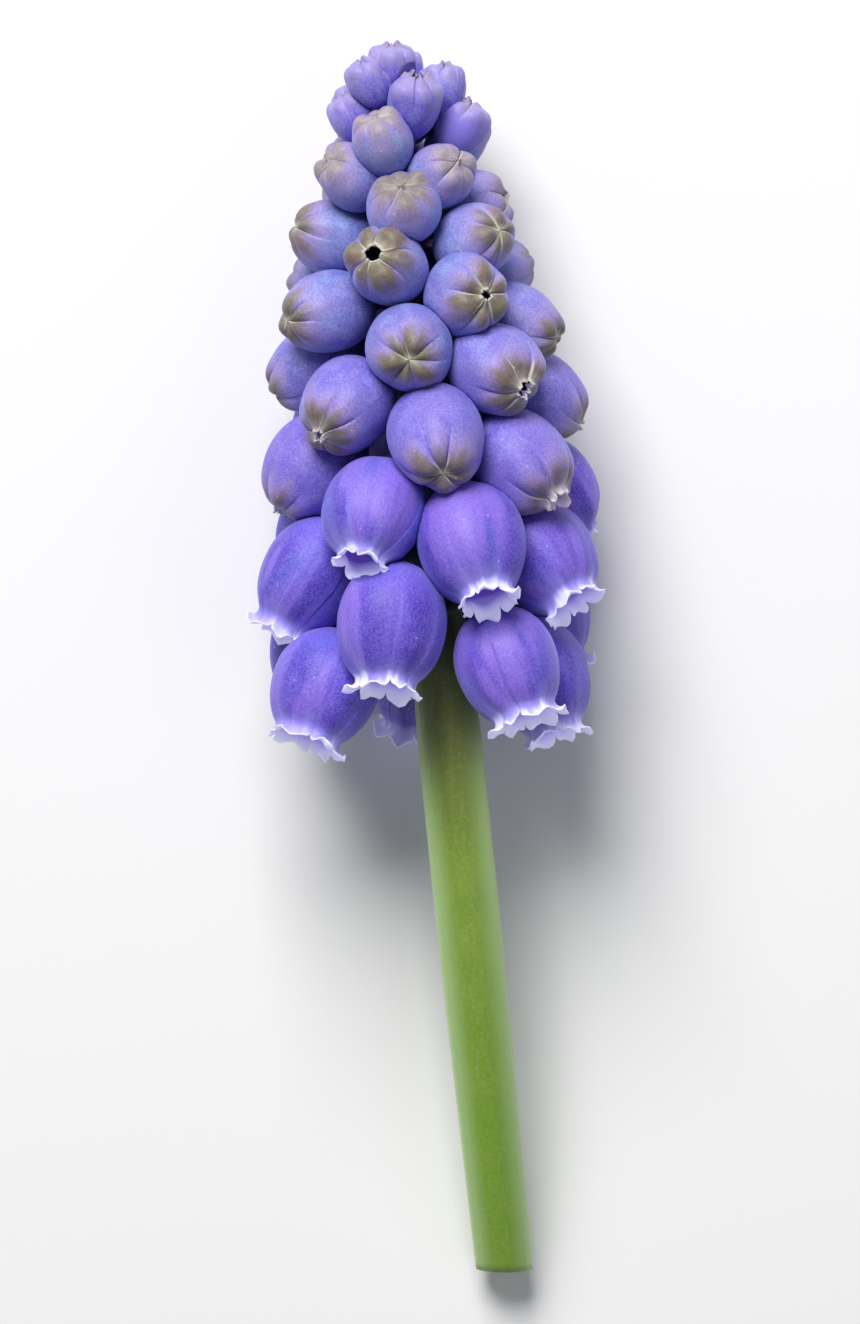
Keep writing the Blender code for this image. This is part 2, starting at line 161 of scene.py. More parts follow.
# %% Stem line and head directions
CUT_END_X = 3.32 * MM
CUT_END_Y = -28.56 * MM
STEM_LEAN = 0.1012
CUT_END_RADIUS = 1.31 * MM
STEM_TOP_RADIUS = 1.47 * MM
STEM_SWELL_RATE = 1.6
AXIS_TIP_RADIUS = 0.50 * MM
HEAD_FOOT_Y = -3.56 * MM
AXIS_TIP_Y = 22.94 * MM
HEAD_FOOT_HEIGHT = 6.50 * MM
HEAD_SLOPE = math.radians(1.0)
CUT_END_HEIGHT = 1.30 * MM
RING_LEAN = math.radians(5.3)


def unit(vector):
    """The vector at length one."""
    return vector / np.linalg.norm(vector)


def axis_point(y):
    """Centre of the stem, or of the axis in the head, at one place along the table."""
    x = CUT_END_X - STEM_LEAN * (y - CUT_END_Y)
    if y >= HEAD_FOOT_Y:
        return np.array([x, y, HEAD_FOOT_HEIGHT - math.tan(HEAD_SLOPE) * (y - HEAD_FOOT_Y)])
    run = HEAD_FOOT_Y - CUT_END_Y
    share = (HEAD_FOOT_Y - y) / run
    start_rise = math.tan(HEAD_SLOPE) * run
    drop = HEAD_FOOT_HEIGHT + start_rise - CUT_END_HEIGHT
    return np.array([x, y, HEAD_FOOT_HEIGHT + start_rise * share - drop * share ** 2])


def axis_radius(y):
    """Radius of the stem or of the axis at one place along the table."""
    if y < HEAD_FOOT_Y:
        share = (y - CUT_END_Y) / (HEAD_FOOT_Y - CUT_END_Y)
        return CUT_END_RADIUS + (STEM_TOP_RADIUS - CUT_END_RADIUS) * min(1.0, share * STEM_SWELL_RATE)
    share = (y - HEAD_FOOT_Y) / (AXIS_TIP_Y - HEAD_FOOT_Y)
    return STEM_TOP_RADIUS + (AXIS_TIP_RADIUS - STEM_TOP_RADIUS) * share


def head_directions():
    """Side, upward and tipward directions of the head as it lies."""
    side = np.array([math.cos(RING_LEAN), math.sin(RING_LEAN), 0.0])
    forward = np.array([-math.sin(RING_LEAN), math.cos(RING_LEAN), 0.0])
    tipward = forward * math.cos(HEAD_SLOPE) - np.array([0.0, 0.0, math.sin(HEAD_SLOPE)])
    return side, np.cross(side, tipward), tipward


SIDE, UPWARD, TIPWARD = head_directions()
print("stem runs from", axis_point(CUT_END_Y) / MM, "to", axis_point(AXIS_TIP_Y) / MM)

# %% [markdown]
# The head grows narrower towards its tip, and its florets smaller. The line that they stand round
# bends a little. Their sizes and their pitch are read between a few stations down the head.

# %% Sizes down the head
HEAD_TIP_Y = 27.59 * MM
CENTRE_LINE_X = -2.14 * MM
CENTRE_LINE_SLOPE = 0.1861
CENTRE_LINE_BEND = 0.00432 / MM
# Depth below the tip, floret width and floret length in millimetres, and pitch in degrees
FLORET_STATIONS = np.array((
    (0.5, 1.80, 2.50, 78.0),
    (2.6, 2.35, 2.90, 62.0),
    (5.6, 3.15, 3.40, 28.0),
    (11.3, 3.75, 4.20, -3.0),
    (15.8, 4.20, 4.75, -36.0),
    (20.2, 4.70, 5.50, -50.0),
    (26.0, 4.85, 6.10, -69.0),
)) * (MM, MM, MM, 1.0)


def centre_line(depth):
    """The line the florets stand round, at one depth below the tip of the head."""
    y = HEAD_TIP_Y - depth
    x = CENTRE_LINE_X + CENTRE_LINE_SLOPE * depth - CENTRE_LINE_BEND * depth ** 2
    return np.array([x, y, axis_point(y)[2]])


def station_value(depth, column):
    """Read one column of the floret stations at a depth below the tip."""
    return float(np.interp(depth, FLORET_STATIONS[:, 0], FLORET_STATIONS[:, column]))


print("width at the lowest station in mm:", round(station_value(FLORET_STATIONS[-1, 0], 1) / MM, 2))

# %% [markdown]
# A grape hyacinth sets its florets one after another, each turned from the last by close to the
# golden angle. The youngest stand up at the tip, the middle ones point outward and the oldest hang
# down. A short list of strays says where single florets of this flower sit beside their place.

# %% The spiral of florets
FLORET_COUNT = 62
FIRST_BUD = 11
FIRST_BELL = 47
DIVERGENCE = math.radians(137.08)
FIRST_TURN = math.radians(6.9)
FIRST_STEP = 0.2472 * MM
STEP_GROWTH = 0.00742 * MM
FIRST_DEPTH = 0.30 * MM
TIP_SPREAD = 1.70 * MM
FULL_SPREAD = 5.40 * MM
DEPTH_OF_FULL_SPREAD = 22.6 * MM
# Extra turn in degrees and extra depth in millimetres of the florets that stray
STRAYS = {
    0: (10, 0.6), 10: (0, -0.3), 13: (-5, -0.3), 16: (0, 0.3), 18: (-8, -0.7), 19: (0, 0.5),
    21: (-9, -0.4), 23: (0, 0.3), 24: (-9, 0.0), 26: (11, 0.1), 27: (0, 0.6), 29: (7, 0.4),
    32: (0, 0.3), 34: (5, 0.0), 37: (0, -0.3), 47: (4, 0.0), 48: (0, -0.3), 52: (-10, 0.1),
    53: (0, -0.7), 55: (-3, 0.5), 58: (7, 0.7), 60: (-4, -0.2),
}
POINTING_JITTER = math.radians(6.0)
SEED = 7
UNDERSIDE_SQUEEZE = 0.10


def body_of_floret(number):
    """The node of the solid part that holds this floret."""
    if number >= FIRST_BELL:
        return "open_bells"
    return "closed_buds" if number >= FIRST_BUD else "sterile_crown"


def spiral_plan():
    """One entry for each floret: where it sits, which way it points and its size."""
    random_state = np.random.RandomState(SEED)
    plan = []
    for number in range(FLORET_COUNT):
        depth = FIRST_DEPTH + FIRST_STEP * number + STEP_GROWTH * number ** 2 / 2
        stray_turn, stray_depth = STRAYS.get(number, (0, 0.0))
        turn = FIRST_TURN + DIVERGENCE * number + math.radians(stray_turn)
        depth += stray_depth * MM
        share = min(1.0, max(0.0, depth / DEPTH_OF_FULL_SPREAD))
        spread = TIP_SPREAD + (FULL_SPREAD - TIP_SPREAD) * math.sin(share * math.pi / 2)
        outward = math.sin(turn) * SIDE + math.cos(turn) * UPWARD
        pitch = math.radians(station_value(depth, 3))
        pitch += random_state.uniform(-POINTING_JITTER, POINTING_JITTER)
        squeeze = 1 - UNDERSIDE_SQUEEZE * max(0.0, -math.cos(turn))
        plan.append({
            "number": number,
            "body": body_of_floret(number),
            "depth": depth,
            "centre": centre_line(depth) + spread * outward,
            "pointing": math.cos(pitch) * outward + math.sin(pitch) * TIPWARD,
            "spread": spread,
            "width": station_value(depth, 1) * squeeze,
            "length": station_value(depth, 2),
        })
    return plan


plan = spiral_plan()
print("florets:", len(plan), "lowest at depth", round(plan[-1]["depth"] / MM, 1), "mm")

# %% [markdown]
# Florets this crowded push each other aside as they grow. The same thing happens here: each floret
# is felt as four balls in a row, and over many small rounds they give way to each other, to the
# axis and to the table, while a weak pull takes each one back to its own place.

# %% Let the florets make room for each other
# Where each ball sits along a floret from its middle, and how wide it is, as shares
FEELER_BALLS = np.array(((-0.22, 0.68), (-0.04, 0.93), (0.14, 0.82), (0.31, 0.50)))
JOSTLE_ROUNDS = 160
SETTLE_ROUNDS = 60
HOMING = 0.06
GIVE_TO_NEIGHBOUR = 0.25
GIVE_TO_FIXED = 0.5
BODY_GAP = 0.34 * MM
OUTLINE_SLACK = 0.30 * MM
FLAT_SPOT_DEPTH = 0.16 * MM
SLEEVE_GAP = 0.30 * MM
SLEEVE_WALL = 0.50 * MM


def push_from_neighbours(balls, radii, apart, push):
    """Each floret gives way to the others, along the line between their deepest pair of balls."""
    count = len(balls)
    for one in range(count):
        gap = balls[one][:, None, None, :] - balls[None, :, :, :]
        distance = np.linalg.norm(gap, axis=3) + 1e-9
        need = radii[one][:, None, None] + radii[None, :, :] + apart[one][None, :, None]
        overlap = need - distance
        overlap[:, one, :] = -1.0
        deepest = overlap.transpose(1, 0, 2).reshape(count, -1)
        choice = deepest.argmax(axis=1)
        for other in np.nonzero(deepest.max(axis=1) > 0)[0]:
            mine, theirs = divmod(int(choice[other]), len(FEELER_BALLS))
            way = gap[mine, other, theirs] / distance[mine, other, theirs]
            push[one] += way * deepest[other].max() * GIVE_TO_NEIGHBOUR


def push_from_table_and_axis(balls, radii, push):
    """The table lifts what reaches into it, and the axis keeps its own room."""
    for one, row in enumerate(balls):
        for point, radius in zip(row, radii[one]):
            push[one][2] += max(0.0, radius - FLAT_SPOT_DEPTH - point[2]) * GIVE_TO_FIXED
            core_y = min(point[1], AXIS_TIP_Y)
            away = point - axis_point(core_y)
            room = axis_radius(core_y) + SLEEVE_GAP + SLEEVE_WALL + radius
            close = room - np.linalg.norm(away)
            if close > 0 and point[1] < AXIS_TIP_Y:
                push[one] += unit(away) * close * GIVE_TO_FIXED


def make_room(plan):
    """Settle the florets of the plan against each other."""
    home, pointing, length, width, body = (
        np.array([entry[key] for entry in plan])
        for key in ("centre", "pointing", "length", "width", "body")
    )
    middle = np.array([centre_line(entry["depth"]) for entry in plan])
    reach = np.array([entry["spread"] + OUTLINE_SLACK for entry in plan])
    apart = np.where(body[:, None] != body[None, :], BODY_GAP, 0.0)
    radii = (width / 2)[:, None] * FEELER_BALLS[:, 1][None, :]
    arms = pointing[:, None, :] * (length[:, None] * FEELER_BALLS[:, 0][None, :])[:, :, None]
    centre = home.copy()
    for turn in range(JOSTLE_ROUNDS + SETTLE_ROUNDS):
        push = np.zeros_like(centre)
        balls = centre[:, None, :] + arms
        push_from_neighbours(balls, radii, apart, push)
        push_from_table_and_axis(balls, radii, push)
        centre += push
        if turn < JOSTLE_ROUNDS:
            centre += (home - centre) * HOMING
        arm = centre - middle
        arm[:, 1] = 0.0
        stretch = np.linalg.norm(arm, axis=1) / reach
        centre -= arm * np.maximum(0.0, 1 - 1 / np.maximum(stretch, 1e-9))[:, None]
    moved = np.linalg.norm(centre - home, axis=1)
    print("florets moved by", round(moved.mean() / MM, 2), "mm on average")
    for entry, place in zip(plan, centre):
        entry["centre"] = place


make_room(plan)

# %% [markdown]
# The outline of a floret is two quarter ovals, one to its stalk and one to its tip, each bent by a
# power that makes the end blunter or more pointed. A floret with a mouth leaves the oval at its neck
# and runs on into a lip, whose heading turns as it goes, outward on a bell. A closed bud has no lip.
# Each kind of floret is one row of values. Bells lower down the head are older, so their mouths
# are wider and their lips more turned out, and a few florets have a shape of their own.

# %% What kind of floret each one is
# belly: where the floret is widest, as a share of its length. blunt_base and blunt_tip: powers of
# the two ovals, small for a blunt end. mouth: radius of the neck as a share of the half width. lip:
# its length as a share of the floret's length. curl: where the lip's heading ends, in degrees. hood:
# how far each lobe of the lip is bent like a boat. step: how far the outer lobes stand over the
# inner ones. pad: how far the end of each lobe bulges. flute: depth of the soft folds. notch and
# point: how deep and how pointed the lobes are cut. edge and wall: thickness in millimetres.
SHAPE_VALUES = ("belly", "blunt_base", "blunt_tip", "mouth", "lip", "curl", "hood",
                "step", "pad", "flute", "notch", "point", "edge", "wall")
KIND_ROWS = {
    "bell": (0.45, 0.90, 0.80, 0.62, 0.200, 122.0, 1.3, 0.0, 0.0, 1.6, 0.54, 0.0, 0.065, 0.30),
    "opening": (0.46, 0.88, 0.90, 0.38, 0.105, 32.0, 1.2, 1.0, 0.6, 1.4, 0.46, 0.0, 0.09, 0.35),
    "bud": (0.47, 0.86, 0.90, 0.0, 0.0, 0.0, 0.0, 1.0, 1.0, 1.5, 0.0, 0.0, 0.0, 0.0),
    "pierced": (0.47, 0.86, 0.84, 0.30, 0.035, -24.0, 0.5, 1.4, 1.7, 1.7, 0.40, 0.2, 0.12, 0.45),
    "young": (0.54, 1.00, 0.68, 0.20, 0.08, -70.0, 2.4, 1.2, 1.2, 1.2, 0.38, 0.10, 0.16, 0.45),
    "sterile": (0.64, 1.20, 0.56, 0.42, 0.11, -56.0, 1.6, 1.2, 1.0, 2.2, 0.30, 0.0, 0.20, 0.25),
}
KINDS = {kind: dict(zip(SHAPE_VALUES, row)) for kind, row in KIND_ROWS.items()}
SINGLE_KINDS = {11: "sterile", 26: "pierced", 29: "pierced"}
SINGLE_KINDS.update({number: "opening" for number in (37, 39, 40, 44, 45, 48, 49)})
SINGLE_VALUES = {
    0: {"mouth": 0.52, "lip": 0.14, "curl": -62.0},
    8: {"mouth": 0.70, "lip": 0.20, "curl": -84.0, "blunt_tip": 0.60},
    29: {"mouth": 0.20}, 37: {"mouth": 0.29, "lip": 0.07, "curl": 8.0},
    39: {"mouth": 0.24, "lip": 0.07, "curl": 0.0}, 40: {"mouth": 0.18, "lip": 0.05, "curl": 0.0},
    44: {"mouth": 0.16, "lip": 0.05, "curl": 0.0}, 49: {"mouth": 0.44, "lip": 0.13, "curl": 75.0},
    52: {"mouth": 0.70, "lip": 0.21, "curl": 124.0}, 58: {"mouth": 0.66}, 60: {"mouth": 0.67},
}
YOUNGEST_BELL = {"mouth": 0.52, "lip": 0.160, "curl": 100.0}
LAST_YOUNG_BUD = 21
RIPE_BELL = 58
RIPENING_POWER = 0.7


def kind_of(number):
    """The kind of one floret, by its place on the spiral."""
    if number in SINGLE_KINDS:
        return SINGLE_KINDS[number]
    if number >= FIRST_BELL:
        return "bell"
    if number > LAST_YOUNG_BUD:
        return "bud"
    return "young" if number >= FIRST_BUD else "sterile"


def shape_of(number, kind):
    """The shape values of one floret."""
    shape = dict(KINDS[kind], **SINGLE_VALUES.get(number, {}))
    if kind == "bell":
        ripe = min(1.0, (number - FIRST_BELL) / (RIPE_BELL - FIRST_BELL)) ** RIPENING_POWER
        for key, value in YOUNGEST_BELL.items():
            shape[key] = value + (shape[key] - value) * ripe
    return shape


for entry in plan:
    entry["kind"] = kind_of(entry["number"])
    entry["shape"] = shape_of(entry["number"], entry["kind"])
print({kind: sum(entry["kind"] == kind for entry in plan) for kind in KINDS})

# %% [markdown]
# The plan gives each floret's place by a rule, but no two flowers grow quite alike. So single
# florets are nudged by up to about a millimetre and a half, lean, or are a little larger or
# smaller, as on the real one. The pressing further down keeps them from running into each other.

# %% Last touches to the plan
CROWN_SINK = (0, 0.50, 0)
CROWN_LEAN = (0, 0.25, -0.15)
# Nudges in millimetres and leans in shares of a floret's direction, each sideways, towards the tip
# and upward from the table
NUDGES = {
    0: (-0.45, -0.34, 0.1), 1: (-0.20, -0.50, 0), 2: (1.25, -0.35, 0), 3: (0.40, -0.75, 0),
    5: (0.10, 0.30, 0.1), 6: (0.10, -0.30, -0.3), 7: (0.60, -0.20, 0), 8: (-0.50, -0.05, 0.1),
    10: (0.70, 0.05, 0), 11: (-0.15, -0.50, 0), 13: (0, -0.35, 0), 15: (1.40, -0.30, -0.6),
    16: (-0.70, -0.75, 0), 18: (0.45, -0.05, 0), 19: (-0.90, -0.85, 0), 20: (0.50, 0, 0),
    21: (0.15, -0.65, 0), 23: (0.45, 0, 0), 24: (-0.30, -0.75, 0), 26: (0.10, 0.10, 0),
    27: (-0.70, -0.30, 0), 29: (0, -0.15, 0), 31: (-0.20, 0, 0), 32: (-0.25, -0.45, 0),
    34: (0.25, -0.20, 0), 35: (-0.30, 0, 0), 39: (0.10, -0.15, 0), 40: (-0.15, -0.20, 0),
    42: (-0.05, -0.25, 0), 44: (0.25, -0.45, 0), 45: (-0.30, -0.30, 0), 47: (0.10, -0.30, 0),
    49: (0.40, -0.10, 0), 50: (0, -0.35, 0), 52: (-0.15, -0.10, 0), 53: (0, 0.25, 0),
    55: (-0.15, 0, 0), 57: (0.60, 0.10, 0), 58: (0, -0.20, 0), 59: (-0.90, -0.40, 0.1),
    60: (-0.10, 0.20, 0), 61: (-0.30, 0.70, 0),
}
LEANS = {
    2: (0.25, 0, 0), 5: (-0.25, 0, 0), 13: (0, 0.25, -0.1), 15: (0.3, 0, 0), 21: (0.05, 0.40, 0),
    23: (0.15, 0.05, 0.1), 24: (-0.1, -0.1, 0.1), 26: (0, 0.20, 0), 31: (0.1, 0, 0),
    32: (-0.05, -0.2, 0.1), 34: (0.1, 0.1, 0), 36: (0.15, 0, 0.1), 39: (0.05, 0.15, 0),
    47: (0, -0.16, 0), 48: (0, 0.1, 0.1), 50: (0, -0.12, 0.04), 52: (-0.10, 0, 0),
    53: (0, 0, 0.24), 55: (-0.10, 0, 0.04), 57: (0.1, 0, 0.1), 59: (-0.36, 0, 0.1),
    60: (-0.08, 0, 0), 61: (-0.20, 0.05, 0.22),
}
# How many times as wide and as long as the rule some florets are
SIZES = {
    0: (1.12, 1.00), 2: (0.90, 0.95), 3: (0.98, 0.94), 5: (0.96, 0.88), 8: (1.04, 1.06),
    10: (0.95, 0.92), 11: (0.94, 0.95), 16: (0.93, 0.95), 18: (0.94, 0.96), 21: (1.02, 0.88),
    29: (1.00, 0.92), 32: (0.90, 0.98), 50: (1.05, 1.05), 58: (0.92, 0.88), 60: (0.96, 0.88),
    61: (0.95, 0.92),
}
NONE = (0, 0, 0)
HEAD_AXES = np.array([SIDE, TIPWARD, UPWARD])

for entry in plan:
    number = entry["number"]
    in_crown = number < FIRST_BUD
    nudge = np.array(NUDGES.get(number, NONE)) - np.array(CROWN_SINK if in_crown else NONE)
    lean = np.array(LEANS.get(number, NONE)) + np.array(CROWN_LEAN if in_crown else NONE)
    wide, long = SIZES.get(number, (1.0, 1.0))
    entry["centre"] = entry["centre"] + nudge @ HEAD_AXES * MM
    entry["pointing"] = unit(entry["pointing"] + lean @ HEAD_AXES)
    entry["width"] *= wide
    entry["length"] *= long
print("widest floret in mm:", round(max(entry["width"] for entry in plan) / MM, 2))

# %% [markdown]
# Six lobes make a floret: three outer ones and three narrower inner ones between them. A mesh that
# has its columns crowded at the seams between lobes can carry both the thin seams and the round
# lobes. Each column knows its angle, its place across its lobe from -1 to 1, and its lobe's number.

# %% Columns round a floret
LOBES = 6
COLUMNS_A_LOBE = 12
COLUMNS = LOBES * COLUMNS_A_LOBE
OUTER_LOBE_SHARE = 1.16
LOBE_UNEVENNESS = 0.12
FULL_TURN = 2 * math.pi


def lobe_columns(random_state):
    """Angle of each column, its place across its lobe, its lobe, and half its lobe's angle."""
    shares = np.tile([OUTER_LOBE_SHARE, 2 - OUTER_LOBE_SHARE], LOBES // 2)
    shares = shares + random_state.uniform(-LOBE_UNEVENNESS, LOBE_UNEVENNESS, LOBES)
    edges = np.append(0, np.cumsum(shares)) / shares.sum() * FULL_TURN
    edges = edges + random_state.uniform(0, FULL_TURN)
    even = np.linspace(-1, 1, COLUMNS_A_LOBE, endpoint=False)
    across = np.tile(np.sin(even * math.pi / 2), LOBES)
    lobe = np.repeat(np.arange(LOBES), COLUMNS_A_LOBE)
    middle = (edges[lobe] + edges[lobe + 1]) / 2
    half = (edges[lobe + 1] - edges[lobe]) / 2
    outer = (lobe % 2 == 0).astype(float)
    return {"angle": middle + across * half, "across": across, "lobe": lobe, "half": half, "outer": outer}


def each_lobe(random_state, low, high, columns):
    """One draw for each lobe, repeated over the lobe's columns."""
    return random_state.uniform(low, high, LOBES)[columns["lobe"]]


print("columns round a floret:", COLUMNS)

# %% [markdown]
# The lip is drawn like a road seen from the side: at each step it has a heading, and adding up the
# steps gives how far it has risen and widened. A notch is simply a column that stops early.

# %% The lip's road
LIP_STEPS = 40
LIP_TURNING = 1.15
# how much of the length beyond the belly the oval takes, before the lip is known
OVAL_SHARE = 0.9
# half width and length of the floret that some cells try their measures on
TRIAL_SIZE = (2.4 * MM, 6.1 * MM)


def neck_turn(shape):
    """How far round the oval the neck is, in radians from the stalk."""
    return math.pi - math.asin(shape["mouth"] ** (1 / shape["blunt_tip"]))


def lip_road(shape, half_width, length, curls=None):
    """Distance, rise, widening and heading along the lip, one column for each curl."""
    turn = neck_turn(shape)
    power = shape["blunt_tip"]
    fall = half_width * power * math.sin(turn) ** (power - 1) * math.cos(turn)
    climb = (1 - shape["belly"]) * length * OVAL_SHARE / -math.cos(turn) * math.sin(turn)
    start = math.atan2(fall, climb)
    steps = np.linspace(0, 1, LIP_STEPS)[:, None]
    curls = np.radians([shape["curl"]] if curls is None else curls)
    heading = start + (curls - start) * steps ** LIP_TURNING
    distance = steps[:, 0] * shape["lip"] * length
    still = np.zeros((1, heading.shape[1]))
    rise = np.concatenate([still, np.cumsum(np.cos(heading[:-1]) * distance[1], axis=0)])
    widening = np.concatenate([still, np.cumsum(np.sin(heading[:-1]) * distance[1], axis=0)])
    return {"distance": distance, "rise": rise, "widening": widening, "heading": heading}


def follow_road(values, share):
    """The values of each column's road at a share of its length."""
    step = share * (LIP_STEPS - 1)
    low = np.minimum(step.astype(int), LIP_STEPS - 2)
    part = step - low
    column = np.arange(values.shape[1])[None]
    return values[low, column] * (1 - part) + values[low + 1, column] * part


trial_road = lip_road(KINDS["bell"], *TRIAL_SIZE)
print("a bell's lip is", round(trial_road["distance"][-1] / MM, 2), "mm long")

# %% [markdown]
# The body is a stack of rows, each a share of the way round the oval. Rows crowd towards the tip,
# where the star of lobes needs them. For a bud the last row is a tiny ring at the apex.

# %% Rows of the body
BODY_ROWS = 40
BASE_TURN = 0.10
APEX_GAP = 0.012
CROWDING = 1.5


def oval_radius(shape, half_width, along, belly, top):
    """Radius of the oval at a distance along the floret."""
    below = along < belly
    reach = np.where(below, belly, top)
    power = np.where(below, shape["blunt_base"], shape["blunt_tip"])
    share = np.clip(np.abs(along - belly) / reach, 0, 1)
    return half_width * np.sqrt(1 - share ** 2) ** power


def body_rows(shape, half_width, length):
    """Along and radius of the body rows, and the oval's belly and top."""
    belly = shape["belly"] * length
    last = math.pi - APEX_GAP
    lip_rise = 0.0
    if shape["mouth"]:
        last = neck_turn(shape)
        lip_rise = lip_road(shape, half_width, length)["rise"].max()
    top = (length - lip_rise - belly) / -math.cos(last)
    share = 1 - (1 - np.linspace(0, 1, BODY_ROWS)) ** CROWDING
    turn = BASE_TURN + (last - BASE_TURN) * share
    along = belly - np.where(turn < math.pi / 2, belly, top) * np.cos(turn)
    return along, oval_radius(shape, half_width, along, belly, top), belly, top


trial_rows = body_rows(KINDS["bell"], *TRIAL_SIZE)
print("a bell narrows to a neck", round(2 * trial_rows[1][-1] / MM, 2), "mm across")

# %% [markdown]
# The relief of a floret is raised along the skin's own outward direction. At the tip the three
# outer lobes overlap the inner ones, so the height steps down at each seam, with a fine bead on
# the upper edge and a crease under it. The end of each lobe bulges like a small pad that drops
# steeply to the tip, most of all on the pierced buds. Shallow folds run between the lobes and fade
# towards the stalk. Every lobe gets its own share of all this, so that no two are alike.

# %% Relief of the body
# heights as shares of the half width, reaches as half widths from the tip
STEP = 0.042
STEP_REACH = 0.62
BEAD = 0.020
BEAD_WIDTH = 0.15
CREASE = 0.050
CREASE_REACH = 0.55
CREASE_WIDTH = 0.11
OUTER_CREASE_LOSS = 0.7
PAD = 0.085
PAD_RISE = (0.95, 0.42)
PAD_DROP = (0.08, 0.34)
PAD_ROUNDING = 2.5
INNER_PAD = 0.6
FLUTE = 0.030
FOLD_LEVEL = 0.4
FLUTE_REACH = 1.45
TIP_PIT = 0.07
TIP_PIT_REACH = 0.10
LUMPS = (0.024, 0.018, 0.008)
LOBE_SIZES = (0.55, 1.45)
# the seams' wander in radians, its waves along and round the floret, and how fast it fades
SEAM_WOBBLE = 0.06
WOBBLE_WAVES = (4.5, 1.7)
WOBBLE_FADE = 1.1


def outward(along, radius):
    """The direction out of the skin along a row of profile points, as along and radius parts."""
    climb = np.gradient(along, axis=0)
    widen = np.gradient(radius, axis=0)
    size = np.hypot(climb, widen) + 1e-12
    return -widen / size, climb / size


def soft_step(value, start, end):
    """0 before start and 1 past end, smoothly, also where end is the smaller one."""
    share = np.clip((value - start) / (end - start), 0, 1)
    return share * share * (3 - 2 * share)


def hump(distance, reach):
    """1 at no distance, falling away softly over the reach."""
    return np.exp(-(distance / reach) ** 2)


def body_relief(shape, near, columns, random_state):
    """Height of the relief, in half widths, for each row and column."""
    near = near[:, None]
    across = np.abs(columns["across"])[None]
    outer = columns["outer"][None]
    size = [each_lobe(random_state, *LOBE_SIZES, columns) for _ in range(3)]
    shelf = hump(near, STEP_REACH) * shape["step"]
    step = (outer - 0.5) * STEP * shelf
    bead = outer * hump(1 - across, BEAD_WIDTH) * BEAD * shelf
    crease = hump(1 - across, CREASE_WIDTH) * hump(near, CREASE_REACH)
    crease = crease * (1 - OUTER_CREASE_LOSS * outer) * CREASE * size[0] * min(1.0, shape["step"])
    pad = soft_step(near, *PAD_RISE) * soft_step(near, *PAD_DROP) * (1 - across ** PAD_ROUNDING)
    pad = pad * PAD * shape["pad"] * size[1] * (INNER_PAD + (1 - INNER_PAD) * outer)
    fold = hump(near, FLUTE_REACH) * (0.5 - 0.5 * np.cos(math.pi * across) - FOLD_LEVEL)
    flute = fold * FLUTE * shape["flute"] * size[2]
    pit = TIP_PIT * hump(near, TIP_PIT_REACH) * (shape["mouth"] == 0)
    turns = random_state.uniform(0, FULL_TURN, 3)
    lump = sum(height * np.sin((count + 2) * columns["angle"][None] + turns[count] + 0.5 * near)
               for count, height in enumerate(LUMPS))
    return step + bead - crease + pad - flute - pit + lump


def seam_wobble(near, columns, random_state):
    """Extra angle that lets the seams wander on their way to the tip."""
    turns = random_state.uniform(0, FULL_TURN, 2)
    along, round_it = WOBBLE_WAVES
    sway = round_it * np.sin(columns["angle"] + turns[1])[None]
    wave = np.sin(along * near[:, None] + turns[0] + sway)
    return SEAM_WOBBLE * wave * np.exp(-WOBBLE_FADE * near)[:, None]


print("an outer lobe of a wide bud stands", round(STEP * 2.0, 3), "mm over the inner ones")

# %% [markdown]
# The lobes of the lip are round or pointed by a power of the place across the lobe. No two lobes
# are the same size or curl equally far, their edges are a little nibbled, and a wave runs across
# each one. The wave grows towards the edge, which makes the ruffle that catches the light.

# %% Lip of an open floret
LIP_ROWS = 16
RUFFLE = 0.23
FOLD = 0.16
CURL_SPREAD = (0.66, 1.34)
FOLD_SPREAD = (0.5, 1.5)
SMALLEST_LOBE = 0.72
INNER_LOBE = 0.90
NIBBLE = 0.045
NIBBLE_WAVES = 7.5
RUFFLE_WAVES = 4.8
ROUND_POWER = 2.6
POINTED_POWER = 1.15
LIFT_POWER = 1.5
SHORTEST_REACH = 0.08


def lobe_reach(shape, columns, random_state):
    """How far each column follows the lip, as a share of the lip's length."""
    across = np.abs(columns["across"])
    rounded = np.maximum(1 - across ** ROUND_POWER, 0) ** 0.5
    pointed = 1 - across ** POINTED_POWER
    outline = rounded * (1 - shape["point"]) + pointed * shape["point"]
    size = each_lobe(random_state, SMALLEST_LOBE, 1.0, columns)
    size = size * (INNER_LOBE + (1 - INNER_LOBE) * columns["outer"])
    wave = each_lobe(random_state, 0, FULL_TURN, columns)
    nibble = NIBBLE * np.sin(columns["across"] * NIBBLE_WAVES + wave) * outline
    return np.clip((1 - shape["notch"] * (1 - outline)) * size + nibble, SHORTEST_REACH, 1.0)


def lip_rows(shape, half_width, length, columns, random_state):
    """Rise, widening, heading and distance from the neck, for each lip row and column."""
    across = columns["across"]
    spread = each_lobe(random_state, *CURL_SPREAD, columns)
    road = lip_road(shape, half_width, length, shape["curl"] * (1 + (spread - 1) * (1 - across ** 2)))
    full = road["distance"][-1]
    share = np.linspace(0, 1, LIP_ROWS + 1)[1:, None] * lobe_reach(shape, columns, random_state)[None]
    rise, widening, heading = (follow_road(road[key], share) for key in ("rise", "widening", "heading"))
    fold = each_lobe(random_state, *FOLD_SPREAD, columns) * (0.35 - across ** 2) * FOLD
    wave = each_lobe(random_state, 0, FULL_TURN, columns)
    ruffle = np.sin(across * RUFFLE_WAVES + wave) * (1 - across ** 2) * RUFFLE
    lift = share ** LIFT_POWER * (fold * shape["hood"] + ruffle)[None] * full
    return rise - np.sin(heading) * lift, widening + np.cos(heading) * lift, heading, share * full


